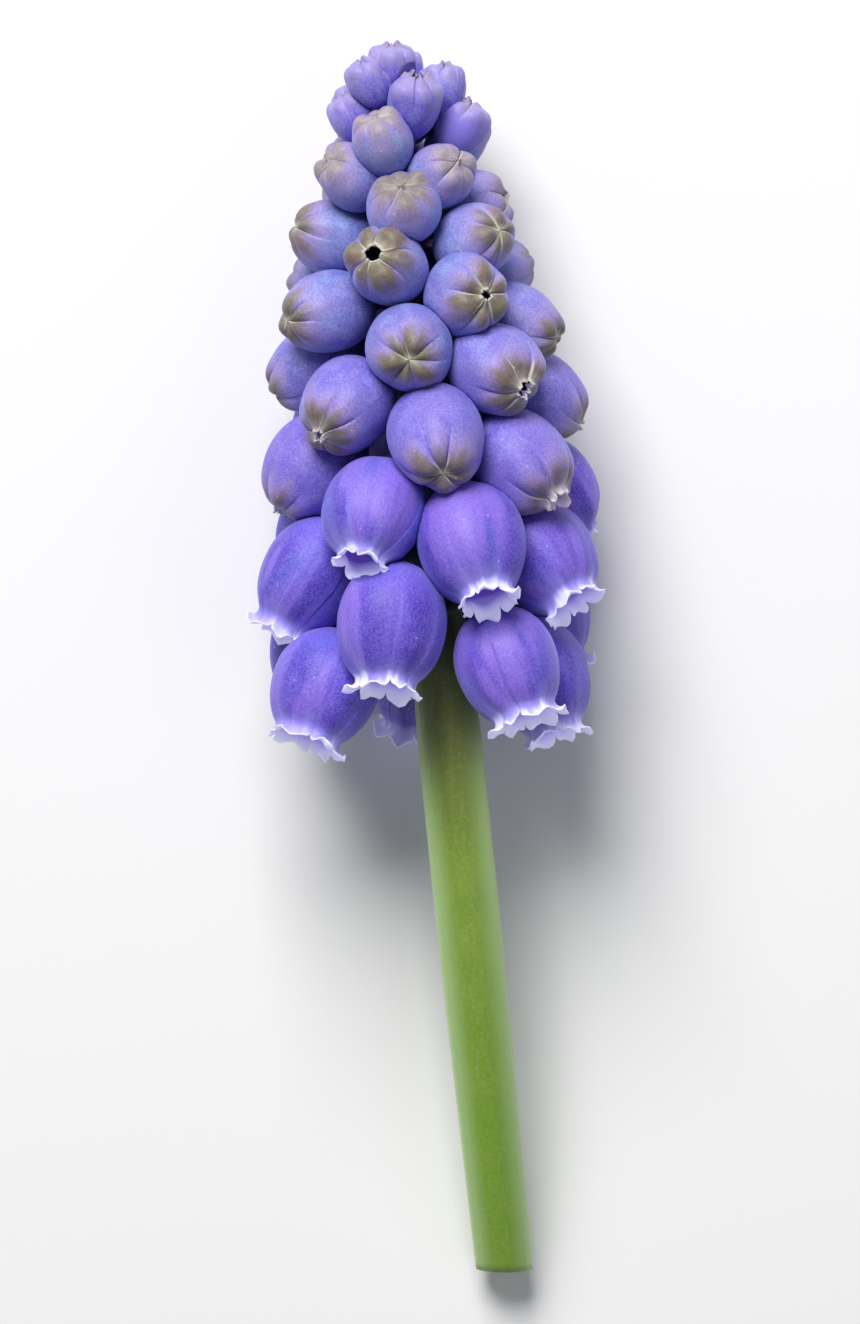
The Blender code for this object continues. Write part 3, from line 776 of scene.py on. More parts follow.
trial_columns = lobe_columns(np.random.RandomState(1))
trial_reach = lobe_reach(KINDS["bell"], trial_columns, np.random.RandomState(2))
print("the lobes reach", round(trial_reach.min(), 2), "to", round(trial_reach.max(), 2), "of the lip")

# %% [markdown]
# An open floret goes on round its rim and back down inside. The edge is a half circle as wide as
# the lip is thick. The inside follows the outside at the wall's depth and ends on the floor of the
# bell, so outside, edge and inside are one grid of rows.

# %% Rim and hollow
NECK_THICKNESS = 0.20 * MM
EDGE_TURNS = (0.18, 0.5, 0.82)
INNER_ROWS = 14
FLOOR_SHARE = 0.16
WALL_CLOSING = 0.55
FULL_WALL_SHARE = 0.25


def round_edge(lip_along, lip_radius, heading, thickness):
    """The half circle over the rim, from its outer to its inner side."""
    half = thickness / 2
    turns = np.array(EDGE_TURNS)[:, None] * math.pi
    side = half * np.cos(turns) - half
    ahead = half * np.sin(turns)
    sine, cosine = np.sin(heading[-1]), np.cos(heading[-1])
    return lip_along[-1] - sine * side + cosine * ahead, lip_radius[-1] + cosine * side + sine * ahead


def hollow_wall(shape, half_width, neck_along, belly, top):
    """The inside from just under the neck down to the floor of the bell."""
    down = np.linspace(0, 1, INNER_ROWS + 1)[1:]
    floor = FLOOR_SHARE * (belly + top)
    along = neck_along + (floor - neck_along) * np.sin(down * math.pi / 2) ** 1.1
    thicker = np.clip(down / FULL_WALL_SHARE, 0, 1)
    wall = NECK_THICKNESS + (shape["wall"] * MM - NECK_THICKNESS) * thicker
    closing = np.clip(down - WALL_CLOSING, 0, 1) / (1 - WALL_CLOSING)
    radius = (oval_radius(shape, half_width, along, belly, top) - wall) * np.sqrt(1.0004 - closing ** 2)
    wide = np.ones((1, COLUMNS))
    return along[:, None] * wide, radius[:, None] * wide, wall[:, None] * wide


def open_grid(shape, half_width, along, radius, belly, top, lip):
    """Outside, edge, inner lip and inner wall of an open floret."""
    rise, widening, heading, _ = lip
    lip_along = along[-1] + rise
    lip_radius = radius[-1] + widening
    thin = shape["edge"] * MM
    share = np.linspace(0, 1, LIP_ROWS + 1)[1:, None]
    thick = (thin + (NECK_THICKNESS - thin) * (1 - share) ** 1.5) * np.ones((1, COLUMNS))
    edge_along, edge_radius = round_edge(lip_along, lip_radius, heading, thin)
    inner_along = (lip_along + np.sin(heading) * thick)[::-1]
    inner_radius = (lip_radius - np.cos(heading) * thick)[::-1]
    wall_along, wall_radius, wall = hollow_wall(shape, half_width, along[-1].mean(), belly, top)
    depth = [along * 0, lip_along * 0, edge_along * 0, thick[::-1], wall]
    inside = np.concatenate([np.zeros(len(along) + LIP_ROWS), EDGE_TURNS, np.ones(LIP_ROWS + INNER_ROWS)])
    return {
        "along": np.concatenate([along, lip_along, edge_along, inner_along, wall_along]),
        "radius": np.concatenate([radius, lip_radius, edge_radius, inner_radius, wall_radius]),
        "depth": np.concatenate(depth),
        "inside": inside[:, None] * np.ones((1, COLUMNS)),
    }


print("rows of rim and hollow:", len(EDGE_TURNS) + 2 * LIP_ROWS + INNER_ROWS)

# %% [markdown]
# Body, relief and lip come together here in the grid of one floret. Besides its place, each point
# is told how far it is from the tip, from the neck and from the nearest seam.

# %% Grid of one floret
# half widths from the end over which the lumps of a closed tip fade out
CALM_TIP = 0.25


def floret_grid(entry, random_state):
    """The whole skin of one floret in its own measures, with what its finish needs to know."""
    shape = entry["shape"]
    half_width = entry["width"] / 2
    columns = lobe_columns(random_state)
    line_along, line_radius, belly, top = body_rows(shape, half_width, entry["length"])
    strides = np.hypot(np.diff(line_along), np.diff(line_radius))
    from_tip = np.append(np.cumsum(strides[::-1])[::-1], 0.0)
    near = from_tip / half_width
    out_along, out_radius = outward(line_along, line_radius)
    relief = body_relief(shape, near, columns, random_state) * half_width
    if not shape["mouth"]:
        relief = relief * np.clip(line_radius / (CALM_TIP * half_width), 0, 1)[:, None]
    wobble = seam_wobble(near, columns, random_state)
    along = line_along[:, None] + out_along[:, None] * relief
    radius = line_radius[:, None] + out_radius[:, None] * relief
    grid = {"along": along, "radius": radius, "depth": along * 0, "inside": along * 0}
    tip = neck = from_tip[:, None] * np.ones((1, COLUMNS))
    if shape["mouth"]:
        lip = lip_rows(shape, half_width, entry["length"], columns, random_state)
        place = lip[3]
        grid = open_grid(shape, half_width, along, radius, belly, top, lip)
        edge = np.repeat(place[-1:], len(EDGE_TURNS), axis=0)
        wall_fall = np.linspace(0, entry["length"], INNER_ROWS)[:, None] * np.ones((1, COLUMNS))
        neck = np.concatenate([tip, -place, -edge, -place[::-1], wall_fall])
        tip = neck + place[-1:]
        later_rows = len(grid["along"]) - len(wobble)
        wobble = np.concatenate([wobble, np.repeat(wobble[-1:], later_rows, axis=0)])
    seam = (1 - np.abs(columns["across"]))[None, :] * columns["half"][None, :] * grid["radius"]
    grid.update(tip=tip, neck=neck, seam=seam, columns=columns, angle=columns["angle"][None] + wobble,
                outline=(line_along, line_radius))
    return grid


trial_grid = floret_grid(plan[FIRST_BELL], np.random.RandomState(1))
print("rows of an open floret:", len(trial_grid["along"]))

# %% [markdown]
# Where two florets touch, both are pressed flat against each other. For that each floret is felt
# as a chain of balls along its axis, because the distance from a ball is quick to find. All the
# grids are drawn here, each from a seed of its own.

# %% Feel the neighbours
FLORET_SEED_STEP = 31
CHAIN_SHARES = np.linspace(0.10, 0.88, 10)
FEEL_MARGIN = 0.25 * MM


def cross_directions(pointing):
    """Two directions square to the way a floret points and to each other."""
    helper = np.array([1.0, 0.0, 0.0] if abs(pointing[2]) > 0.9 else [0.0, 0.0, 1.0])
    first = unit(np.cross(helper, pointing))
    return first, np.cross(pointing, first)


def place_floret(entry, grid):
    """The points of a floret's skin where the floret sits in the head."""
    pointing = entry["pointing"]
    first, second = cross_directions(pointing)
    around = np.cos(grid["angle"])[..., None] * first + np.sin(grid["angle"])[..., None] * second
    back = entry["centre"] - pointing * entry["length"] / 2
    return back + grid["along"][..., None] * pointing + grid["radius"][..., None] * around


def ball_chain(entry, grid):
    """Centres and radii of the balls that fill a floret from end to end."""
    along, radius = grid["outline"]
    places = CHAIN_SHARES * entry["length"]
    reach = np.hypot(places[:, None] - along[None], radius[None]).min(axis=1)
    back = entry["centre"] - entry["pointing"] * entry["length"] / 2
    return back + places[:, None] * entry["pointing"], reach


def feel(points, chain):
    """Distance of points from a chain's surface, and the way out of it."""
    centres, radii = chain
    gap = points[:, None, :] - centres[None]
    far = np.linalg.norm(gap, axis=2)
    nearest = (far - radii[None]).argmin(axis=1)
    pick = np.arange(len(points))
    distance = far[pick, nearest] - radii[nearest]
    return distance, gap[pick, nearest] / far[pick, nearest][:, None]


def near_chains(one, chains):
    """The chains of the other florets that come close to this one's."""
    centres, radii = chains[one]
    close = []
    for other, (their_centres, their_radii) in enumerate(chains):
        far = np.linalg.norm(centres[:, None] - their_centres[None], axis=2)
        room = (far - radii[:, None] - their_radii[None]).min()
        if other != one and room < FEEL_MARGIN:
            close.append(chains[other])
    return close


draws = [np.random.RandomState(SEED + FLORET_SEED_STEP * number) for number in range(FLORET_COUNT)]
grids = [floret_grid(entry, draw) for entry, draw in zip(plan, draws)]
chains = [ball_chain(entry, grid) for entry, grid in zip(plan, grids)]
neighbours = [near_chains(number, chains) for number in range(FLORET_COUNT)]
print("touching neighbours of a floret:", round(np.mean([len(near) for near in neighbours]), 1))

# %% [markdown]
# A point of one skin may not come nearer to the neighbour's chain than to its own, so both skins
# end on the surface halfway between them, a hair apart. The axis and the table push back too.

# %% Press the florets together
CONTACT_GAP = 0.03 * MM
PRESS_ROUNDS = 5
LINE_STEPS = 60


def keep_off_axis(points, depth):
    """Move points out of the stem and the axis."""
    y = np.clip(points[:, 1], CUT_END_Y, AXIS_TIP_Y)
    steps_y = np.linspace(CUT_END_Y, AXIS_TIP_Y, LINE_STEPS)
    line = np.array([axis_point(value) for value in steps_y])
    radii = np.array([axis_radius(value) for value in steps_y])
    centre = np.column_stack([np.interp(y, steps_y, line[:, k]) for k in range(3)])
    away = points - centre
    far = np.linalg.norm(away, axis=1) + 1e-12
    lack = np.maximum(0.0, np.interp(y, steps_y, radii) + CONTACT_GAP + depth - far)
    lack = np.where(points[:, 1] > AXIS_TIP_Y, 0.0, lack)
    return points + away / far[:, None] * lack[:, None]


def press(points, depth, own, others):
    """Move the points that reach into a neighbour back to the surface halfway between."""
    for _ in range(PRESS_ROUNDS):
        mine = np.minimum(feel(points, own)[0], 0.0)
        push = np.zeros_like(points)
        for chain in others:
            theirs, way = feel(points, chain)
            lack = np.maximum(0.0, mine + CONTACT_GAP + 2 * depth - theirs)
            push += way * lack[:, None] * 0.5
        points = keep_off_axis(points + push, depth)
        points[:, 2] = np.maximum(points[:, 2], depth)
    return points


skins = []
for entry, grid, chain, near in zip(plan, grids, chains, neighbours):
    points = place_floret(entry, grid)
    flat = press(points.reshape(-1, 3), grid["depth"].ravel(), chain, near)
    skins.append(flat.reshape(points.shape))
print("points of all skins:", sum(points.shape[0] * points.shape[1] for points in skins))

# %% [markdown]
# Every piece of the flower is a stack of rings of points. A few helpers join the rings with faces,
# close their ends, and let the points carry numbers for the finishes.

# %% Helpers for pieces made of rings
def side_faces(start, rows, sides, turned=False):
    """Squares between rings of points that close round."""
    index = start + np.arange(rows * sides).reshape(rows, sides)
    after = np.roll(index, -1, axis=1)
    corners = [index[:-1], after[:-1], after[1:], index[1:]]
    if turned:
        corners = [corners[0], *corners[:0:-1]]
    return np.stack(corners, axis=-1).reshape(-1, 4).tolist()


def cap_faces(start, sides, centre, turned):
    """Triangles that close one ring to a point."""
    ring = start + np.arange(sides)
    after = np.roll(ring, -1)
    middle = np.full_like(ring, centre)
    return np.stack([ring, middle, after] if turned else [after, middle, ring], axis=-1).tolist()


def with_ends(values):
    """The values of all points in one list, and after them the means of the first and last ring."""
    ends = [values[0].mean(axis=0), values[-1].mean(axis=0)]
    return np.concatenate([values.reshape(-1, *values.shape[2:]), ends])


def add_mark(piece, name, values):
    """Let every point of a piece carry a number, or three numbers."""
    kind, field = ("FLOAT", "value") if values.ndim == 1 else ("FLOAT_VECTOR", "vector")
    piece.data.attributes.new(name, kind, "POINT").data.foreach_set(field, values.ravel())


def add_piece(name, points, faces, replaced=None):
    """A smooth piece of the flower on the root, which hides the node that it stands in for."""
    mesh = bpy.data.meshes.new(name)
    mesh.from_pydata(points.tolist(), [], faces)
    mesh.shade_smooth()
    piece = add_object(name, mesh)
    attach(piece, "root")
    if replaced:
        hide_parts(replaced)
    print(name, "has", sum(len(face) - 2 for face in faces), "triangles")
    return piece


print("faces of a short closed tube:", len(side_faces(0, 2, 6) + cap_faces(0, 6, 12, True) * 2))

# %% [markdown]
# The pressed grids become meshes here. Each point takes along what the finishes read: how far it
# is from the tip and from a seam, whether it lies inside, how old its floret is, and a vector that
# runs round and along the floret, so that streaks and patches can follow its growth.

# %% Florets as meshes
LOWER_BUDS_FROM = 29
GOLDEN_SHARE = 0.618


def floret_marks(entry, grid):
    """What each point of a floret knows."""
    columns = grid["columns"]
    full = np.ones(grid["along"].shape)
    along = grid["along"] / entry["length"]
    round_it = [np.cos(grid["angle"]) + entry["number"], np.sin(grid["angle"])]
    return {
        "along": along,
        "tip_mm": grid["tip"] / MM,
        "seam_mm": grid["seam"] / MM,
        "across": np.abs(columns["across"])[None] * full,
        "outer": columns["outer"][None] * full,
        "opened": full * (entry["shape"]["mouth"] > 0),
        "neck_mm": grid["neck"] / MM,
        "inside": grid["inside"],
        "age": full * entry["number"] / FLORET_COUNT,
        "tone": full * (entry["number"] * GOLDEN_SHARE % 1.0),
        "place": np.stack([*round_it, along], axis=-1),
    }


def build_florets(name, numbers, replaced):
    """One piece that holds the florets with these numbers."""
    points, squares, triangles = [], [], []
    marks = {}
    start = 0
    for number in numbers:
        rows = len(skins[number])
        end = start + rows * COLUMNS
        points.append(with_ends(skins[number]))
        squares += side_faces(start, rows, COLUMNS)
        triangles += cap_faces(start, COLUMNS, end, True)
        triangles += cap_faces(end - COLUMNS, COLUMNS, end + 1, False)
        for key, value in floret_marks(plan[number], grids[number]).items():
            marks.setdefault(key, []).append(with_ends(value))
        start = end + 2
    piece = add_piece(name, np.concatenate(points), squares + triangles, replaced)
    for key, value in marks.items():
        add_mark(piece, key, np.concatenate(value))
    return piece


bells = build_florets("bell_florets", range(FIRST_BELL, FLORET_COUNT), "open_bells")
lower_numbers = range(LOWER_BUDS_FROM, FIRST_BELL)
upper_numbers = range(FIRST_BUD, LOWER_BUDS_FROM)
lower_buds = build_florets("lower_bud_florets", lower_numbers, "closed_buds")
upper_buds = build_florets("upper_bud_florets", upper_numbers, "closed_buds")
crown = build_florets("crown_florets", range(FIRST_BUD), "sterile_crown")

# %% [markdown]
# The stem of the solid part has sixteen flat sides. Here it is drawn again with many more, with the
# faint ridges of a real flower stem, and it goes on as a thin axis to the youngest florets.
# Its lower end is cut straight, so the pale pith shows inside a darker ring of vessels.

# %% Stem and axis
STEM_SIDES = 72
STEM_RINGS = 150
AXIS_END_Y = AXIS_TIP_Y + 2.6 * MM
AXIS_END_RADIUS = 0.25 * MM
RIDGES = 9
RIDGE_HEIGHT = 0.010
RIDGE_TWIST = 9 * MM
CUT_RINGS = (0.2, 0.42, 0.62, 0.80, 0.93, 0.985)
CUT_SINK = 0.05 * MM
STEM_ANGLE = FULL_TURN * np.arange(STEM_SIDES) / STEM_SIDES


def stem_ring(y, radius, ridge_turn):
    """One upright ring of the stem, kept off the table."""
    ridge = np.cos(RIDGES * STEM_ANGLE + ridge_turn) * 0.6 + np.cos((RIDGES * 2 + 1) * STEM_ANGLE) * 0.4
    reach = radius * (1 + RIDGE_HEIGHT * ridge)
    ring = axis_point(min(y, AXIS_TIP_Y)) + np.zeros((STEM_SIDES, 3))
    ring[:, 0] += np.cos(STEM_ANGLE) * reach
    ring[:, 1] = y
    ring[:, 2] = np.maximum(ring[:, 2] + np.sin(STEM_ANGLE) * reach, 0.0)
    return ring


def make_stem():
    """The stem from its cut end to the tip of the axis."""
    rings = []
    for share in CUT_RINGS:
        rings.append(stem_ring(CUT_END_Y + CUT_SINK * (1 - share), CUT_END_RADIUS * share, 0.0))
    for y in np.linspace(CUT_END_Y, AXIS_END_Y, STEM_RINGS):
        radius = axis_radius(y)
        if y > AXIS_TIP_Y:
            share = (y - AXIS_TIP_Y) / (AXIS_END_Y - AXIS_TIP_Y)
            radius = AXIS_TIP_RADIUS + (AXIS_END_RADIUS - AXIS_TIP_RADIUS) * share
        rings.append(stem_ring(y, radius, (y - CUT_END_Y) / RIDGE_TWIST))
    count = len(rings) * STEM_SIDES
    faces = side_faces(0, len(rings), STEM_SIDES, turned=True)
    faces += cap_faces(0, STEM_SIDES, count, False)
    faces += cap_faces(count - STEM_SIDES, STEM_SIDES, count + 1, True)
    stem = add_piece("round_stem", with_ends(np.array(rings)), faces, "flower_stem")
    # how far a point faces to the side, where the stem's painted sheen goes
    flank = np.tile(np.abs(np.cos(STEM_ANGLE)), len(rings))
    pith = np.zeros(len(rings))
    pith[:len(CUT_RINGS)] = 1 - np.array(CUT_RINGS)
    add_mark(stem, "flank", np.append(flank, [0.0, 0.0]))
    add_mark(stem, "pith", np.append(np.repeat(pith, STEM_SIDES), [1.0, 0.0]))
    return stem


stem = make_stem()

# %% [markdown]
# Every floret hangs on its own short stalk, which leaves the axis and arches over to the floret's
# base. The stalks show only in the gaps, but without them the florets would float. A stalk is a
# tube round a bent line, like the small organs further down, so one pair of helpers makes them all.

# %% Tubes and stalks
TUBE_SIDES = 12
STALK_SIDES = 10
STALK_STEPS = 12
STALK_RADIUS = 0.30 * MM
STALK_ROOT_RADIUS = 0.36 * MM
WIDTH_OF_FULL_STALK = 3.2 * MM
STALK_BEND = 0.68
STALK_END = 0.465
ARCH_RISE = 2.0 * MM
UPRIGHT_REACH = 0.6
AXIS_REST = 0.4 * MM


def tube_rings(line, radii, lobes=0.0, sides=TUBE_SIDES):
    """Rings round a line of points, with an optional three-lobed cross section."""
    angle = FULL_TURN * np.arange(sides) / sides
    rings = []
    for point, way, radius in zip(line, np.gradient(line, axis=0), radii):
        first, second = cross_directions(unit(way))
        reach = radius * (1 + lobes * np.cos(3 * angle))[:, None]
        rings.append(point + (np.cos(angle)[:, None] * first + np.sin(angle)[:, None] * second) * reach)
    return np.array(rings)


def join_tubes(name, tubes):
    """One piece from many tubes, each closed by a flat face at both ends."""
    faces = []
    start = 0
    for rings in tubes:
        rows, sides = rings.shape[:2]
        faces += side_faces(start, rows, sides)
        faces.append(list(range(start, start + sides))[::-1])
        start += rows * sides
        faces.append(list(range(start - sides, start)))
    print(name, "holds", len(tubes), "tubes")
    return add_piece(name, np.concatenate([rings.reshape(-1, 3) for rings in tubes]), faces)


def stalk_tube(entry):
    """One stalk, from inside the axis to inside the floret's base."""
    centre, pointing, length = entry["centre"], entry["pointing"], entry["length"]
    reach = length * UPRIGHT_REACH if pointing[1] > 0 else ARCH_RISE
    root_y = min(centre[1] - pointing[1] * reach, AXIS_END_Y - AXIS_REST)
    root = axis_point(min(root_y, AXIS_TIP_Y))
    root[1] = root_y
    bend = centre - pointing * length * STALK_BEND
    end = centre - pointing * length * STALK_END
    share = np.linspace(0, 1, STALK_STEPS)
    steps = share[:, None]
    line = root * (1 - steps) ** 2 + bend * 2 * steps * (1 - steps) + end * steps ** 2
    radii = STALK_ROOT_RADIUS + (STALK_RADIUS - STALK_ROOT_RADIUS) * share
    return tube_rings(line, radii * min(1.0, entry["width"] / WIDTH_OF_FULL_STALK), sides=STALK_SIDES)


stalks = join_tubes("floret_stalks", [stalk_tube(entry) for entry in plan])

# %% [markdown]
# An open bell is not empty. Six short stamens stand on its wall in two rings, each with a dark blue
# anther, and a pale green ovary with a thin style stands in the middle. They sit deep inside, so
# a viewer meets them only when looking straight into a mouth, but then the bell reads as a flower.

# %% Stamens and pistils
STAMENS = 6
ANTHER_LENGTH = 0.62 * MM
ANTHER_RADIUS = 0.15 * MM
ANTHER_STEPS = 9
ANTHER_PLACES = (0.60, 0.68)
ANTHER_DISTANCE = 0.40
ANTHER_LEAN = 0.35
GROOVE = 0.12
FILAMENT_ROOT = (0.46, 0.80)
FILAMENT_RADIUS = 0.05 * MM
FILAMENT_STEPS = 4
# Place along the floret as a share of its length, and radius as a share of its half width
PISTIL_LINE = ((0.10, 0.0), (0.14, 0.234), (0.24, 0.36), (0.34, 0.306), (0.40, 0.126), (0.44, 0.054),
               (0.58, 0.045), (0.64, 0.054), (0.66, 0.09), (0.68, 0.063), (0.69, 0.0))
PISTIL_FURROW = 0.08
THINNEST = 0.01 * MM


def anther_tube(middle, way):
    """One anther, a bean with a groove along it."""
    share = np.linspace(0, 1, ANTHER_STEPS)
    line = middle + way * ANTHER_LENGTH * (share[:, None] - 0.5)
    radii = ANTHER_RADIUS * np.sin(np.clip(share, 0.02, 0.98) * math.pi) ** 0.55
    return tube_rings(line, radii, GROOVE)


def bell_organs(entry):
    """Anthers, filaments and the pistil of one open bell."""
    anthers, filaments = [], []
    pointing, length, half_width = entry["pointing"], entry["length"], entry["width"] / 2
    back = entry["centre"] - pointing * length / 2
    first, second = cross_directions(pointing)
    for number in range(STAMENS):
        angle = FULL_TURN * number / STAMENS + entry["number"]
        out = math.cos(angle) * first + math.sin(angle) * second
        middle = back + pointing * ANTHER_PLACES[number % 2] * length + out * half_width * ANTHER_DISTANCE
        anthers.append(anther_tube(middle, unit(pointing - out * ANTHER_LEAN)))
        root = back + pointing * FILAMENT_ROOT[0] * length + out * half_width * FILAMENT_ROOT[1]
        line = root + (middle - root) * np.linspace(0, 1, FILAMENT_STEPS)[:, None]
        filaments.append(tube_rings(line, [FILAMENT_RADIUS] * FILAMENT_STEPS))
    along, reach = np.array(PISTIL_LINE).T
    line = back + pointing * length * along[:, None]
    pistil = tube_rings(line, np.maximum(reach * half_width, THINNEST), PISTIL_FURROW)
    return anthers, filaments, [pistil]


organs = [bell_organs(entry) for entry in plan if entry["kind"] == "bell"]
anther_tubes, filament_tubes, pistil_tubes = (sum(tubes, []) for tubes in zip(*organs))
anthers = join_tubes("anthers", anther_tubes)
filaments = join_tubes("filaments", filament_tubes)
pistils = join_tubes("pistils", pistil_tubes)

# %% [markdown]
# Colours are written as they look on a screen and turned into amounts of light by one helper.
# A node tree is a long row of small sums. To keep them readable, what a node gives out is wrapped
# in a Value here: adding, multiplying or fading a Value adds the node that does so.

# %% Node helpers
def paint(red, green, blue):
    """A colour seen on a screen, 0 to 255, as amounts of light."""
    values = [value / 255 for value in (red, green, blue)]
    light = [value / 12.92 if value <= 0.04045 else ((value + 0.055) / 1.055) ** 2.4 for value in values]
    return (*light, 1.0)


class Value:
    """What a node gives out. A sum made with it adds a node to the same tree."""

    def __init__(self, socket):
        self.socket = socket
        self.tree = socket.id_data

    def __add__(self, other):
        return calc("ADD", self, other)

    def __sub__(self, other):
        return calc("SUBTRACT", self, other)

    def __rsub__(self, other):
        return calc("SUBTRACT", other, self)

    def __mul__(self, other):
        return calc("MULTIPLY", self, other)

    def __truediv__(self, other):
        return calc("DIVIDE", self, other)

    def __pow__(self, other):
        return calc("POWER", self, other)

    def fade(self, start, end):
        """0 on the start's side, 1 on the end's side and a soft step between, whichever is smaller."""
        turned = start > end
        inputs = {0: self, 1: min(start, end), 2: max(start, end), 3: float(turned), 4: float(not turned)}
        return add_node(self.tree, "ShaderNodeMapRange", 0, inputs, interpolation_type="SMOOTHSTEP")


def fill(node, inputs):
    """Link each input of a node to a Value, or set it to a plain number or colour."""
    for title, value in inputs.items():
        if isinstance(value, Value):
            value.tree.links.new(value.socket, node.inputs[title])
        else:
            node.inputs[title].default_value = value


def add_node(tree, kind, output, inputs=None, **settings):
    """Add a node, set its settings, fill its inputs, and give one of its outputs."""
    node = tree.nodes.new(kind)
    for name, value in settings.items():
        setattr(node, name, value)
    fill(node, inputs or {})
    return Value(node.outputs[output])


def tree_of(*values):
    """The tree that the first Value among these belongs to."""
    return next(value.tree for value in values if isinstance(value, Value))


def calc(operation, first, second):
    """The result of one sum."""
    return add_node(tree_of(first, second), "ShaderNodeMath", 0, {0: first, 1: second}, operation=operation)


print("a mid violet is", [round(value, 3) for value in paint(110, 90, 210)])

# %% [markdown]
# Petal skin is made of tiny bulging cells under a thin powdery wax. Up close the skin looks finely
# mottled, and the wax lies on it in soft clouds with a few pale specks. One group makes them all
# from the place in space: a height for the bump, and masks for wax, mottling and specks.

# %% Effect shared by every petal: skin cells and wax
SPECK_SPACING = 0.42 * MM
SPECK_SIZE = 0.12
CLOUD_SIZE = 0.7 * MM
# how much finer the mottling is than the cells
MOTTLE_FINENESS = 1.3


def noise(place, scale, detail=2.0):
    """Cloudy noise from 0 to 1."""
    inputs = {"Vector": place, "Scale": scale, "Detail": detail}
    return add_node(place.tree, "ShaderNodeTexNoise", 0, inputs)


def object_place(tree):
    """Where a point is in space."""
    return add_node(tree, "ShaderNodeTexCoord", "Object")


def new_group(name, inputs, outputs):
    """A node group with named numbers going in and out. Gives the group, its inputs and its end."""
    group = bpy.data.node_groups.new(name, "ShaderNodeTree")
    for title, value in inputs.items():
        socket = group.interface.new_socket(title, in_out="INPUT", socket_type="NodeSocketFloat")
        socket.default_value = value
    for title in outputs:
        group.interface.new_socket(title, in_out="OUTPUT", socket_type="NodeSocketFloat")
    start = group.nodes.new("NodeGroupInput")
    given = {title: Value(start.outputs[title]) for title in inputs}
    print("group made:", name)
    return group, given, group.nodes.new("NodeGroupOutput")


def make_skin_group():
    """Cell bumps, wax clouds, fine mottling and pale specks."""
    results = ("Height", "Wax", "Mottle", "Speck")
    group, given, end = new_group("petal skin", {"Cells per mm": 8.0}, results)
    place = object_place(group)
    scale = given["Cells per mm"] * (1 / MM)
    cell_inputs = {"Vector": place, "Scale": scale}
    cells = add_node(group, "ShaderNodeTexVoronoi", "Distance", cell_inputs, feature="SMOOTH_F1")
    clouds = noise(place, 1 / CLOUD_SIZE, 3.0)
    fine = noise(place, scale * MOTTLE_FINENESS, 3.0)
    speck_inputs = {"Vector": place, "Scale": 1 / SPECK_SPACING}
    spots = add_node(group, "ShaderNodeTexVoronoi", "Distance", speck_inputs)
    fill(end, {
        "Height": (1.0 - cells) * 0.5 + fine * 0.5,
        "Wax": clouds * 0.7 + fine * 0.3,
        "Mottle": fine,
        "Speck": spots.fade(SPECK_SIZE, SPECK_SIZE * 0.5) * clouds.fade(0.5, 0.62),
    })
    return group


skin_group = make_skin_group()

# %% [markdown]
# A floret's colour runs with its growth, in soft upright bands and blotches from stalk to tip. The
# noise for it is read from the vector that goes round and along the floret. Stretching it along
# the floret turns clouds into streaks.

# %% Effect shared by every petal: growth bands
BAND_SCALE = 1.5
STREAK_SCALE = 5.1


def stretch(place, scale, shift=(0.0, 0.0, 0.0)):
    """A place stretched and shifted, which turns clouds into streaks."""
    return add_node(place.tree, "ShaderNodeMapping", 0, {0: place, 1: shift, 3: scale})


def make_band_group():
    """Broad blotches, a second set of them, and narrow streaks that run along a floret."""
    group, _, end = new_group("growth bands", {}, ("Blotch", "Second blotch", "Streak"))
    place = add_node(group, "ShaderNodeAttribute", "Vector", attribute_name="place")
    first = noise(stretch(place, (1.0, 1.0, 0.55)), BAND_SCALE, 2.5)
    second = noise(stretch(place, (1.0, 1.0, 0.8), (7.3, 2.1, 4.7)), BAND_SCALE)
    streak = noise(stretch(place, (1.0, 1.0, 0.22)), STREAK_SCALE, 3.0)
    fill(end, {"Blotch": first.fade(0.40, 0.60), "Second blotch": second.fade(0.44, 0.62), "Streak": streak})
    return group


band_group = make_band_group()

# %% [markdown]
# The closed tip of a bud shows a star: olive and tan patches on the lobes, thin pale lines where an
# outer lobe ends, painted shade in the crease beside each, and a mauve fringe round it all. The group
# reads the distance from the tip and from the nearest seam, which every point carries, and shakes them
# with noise, because nothing on a flower ends in a clean line.

# %% Effect of buds and crown: the star at the tip
SHAKE = 1.5
SHAKE_SCALE = 2.2
GRAIN = 0.18
GRAIN_SCALE = 3.5 / MM
# how much further out a seam counts than the middle of a lobe, and how much less an outer lobe
SEAM_DISTANCE = 0.42
SEAM_POWER = 2.5
OUTER_LOBE_GAIN = 0.14


def marks_of(tree, *names):
    """What a point knows, by the names that its piece carries."""
    return [add_node(tree, "ShaderNodeAttribute", "Fac", attribute_name=name) for name in names]


def make_star_group():
    """Masks of the patches, the pale lines, the painted shade of the seam folds and the mauve fringe at a
    closed tip.
    """
    inputs = {"Reach mm": 1.3, "Seam mm": 0.05}
    group, given, end = new_group("tip star", inputs, ("Patch", "Seam", "Crease shade", "Fringe"))
    tip, seam, across, outer, tone = marks_of(group, "tip_mm", "seam_mm", "across", "outer", "tone")
    place = add_node(group, "ShaderNodeAttribute", "Vector", attribute_name="place")
    shake = noise(place, SHAKE_SCALE) - 0.5
    grain = noise(object_place(group), GRAIN_SCALE, 3.0) - 0.5
    shaken = shake * SHAKE + grain * GRAIN
    share = tip / given["Reach mm"]
    out = share + across ** SEAM_POWER * SEAM_DISTANCE + (shaken - outer * OUTER_LOBE_GAIN)
    line_end = (share + (shaken + (0.5 - tone) * 0.5)).fade(0.80, 0.20)
    on_seam = (seam / given["Seam mm"]).fade(1.5, 0.2) * line_end
    fill(end, {
        "Patch": out.fade(1.20, 0.45),
        "Seam": on_seam * (outer * 0.75 + 0.1),
        # painted shade in the crease beside each seam, on the inner lobes
        "Crease shade": on_seam * (1.0 - outer),
        "Fringe": out.fade(1.75, 0.85),
    })
    return group


star_group = make_star_group()

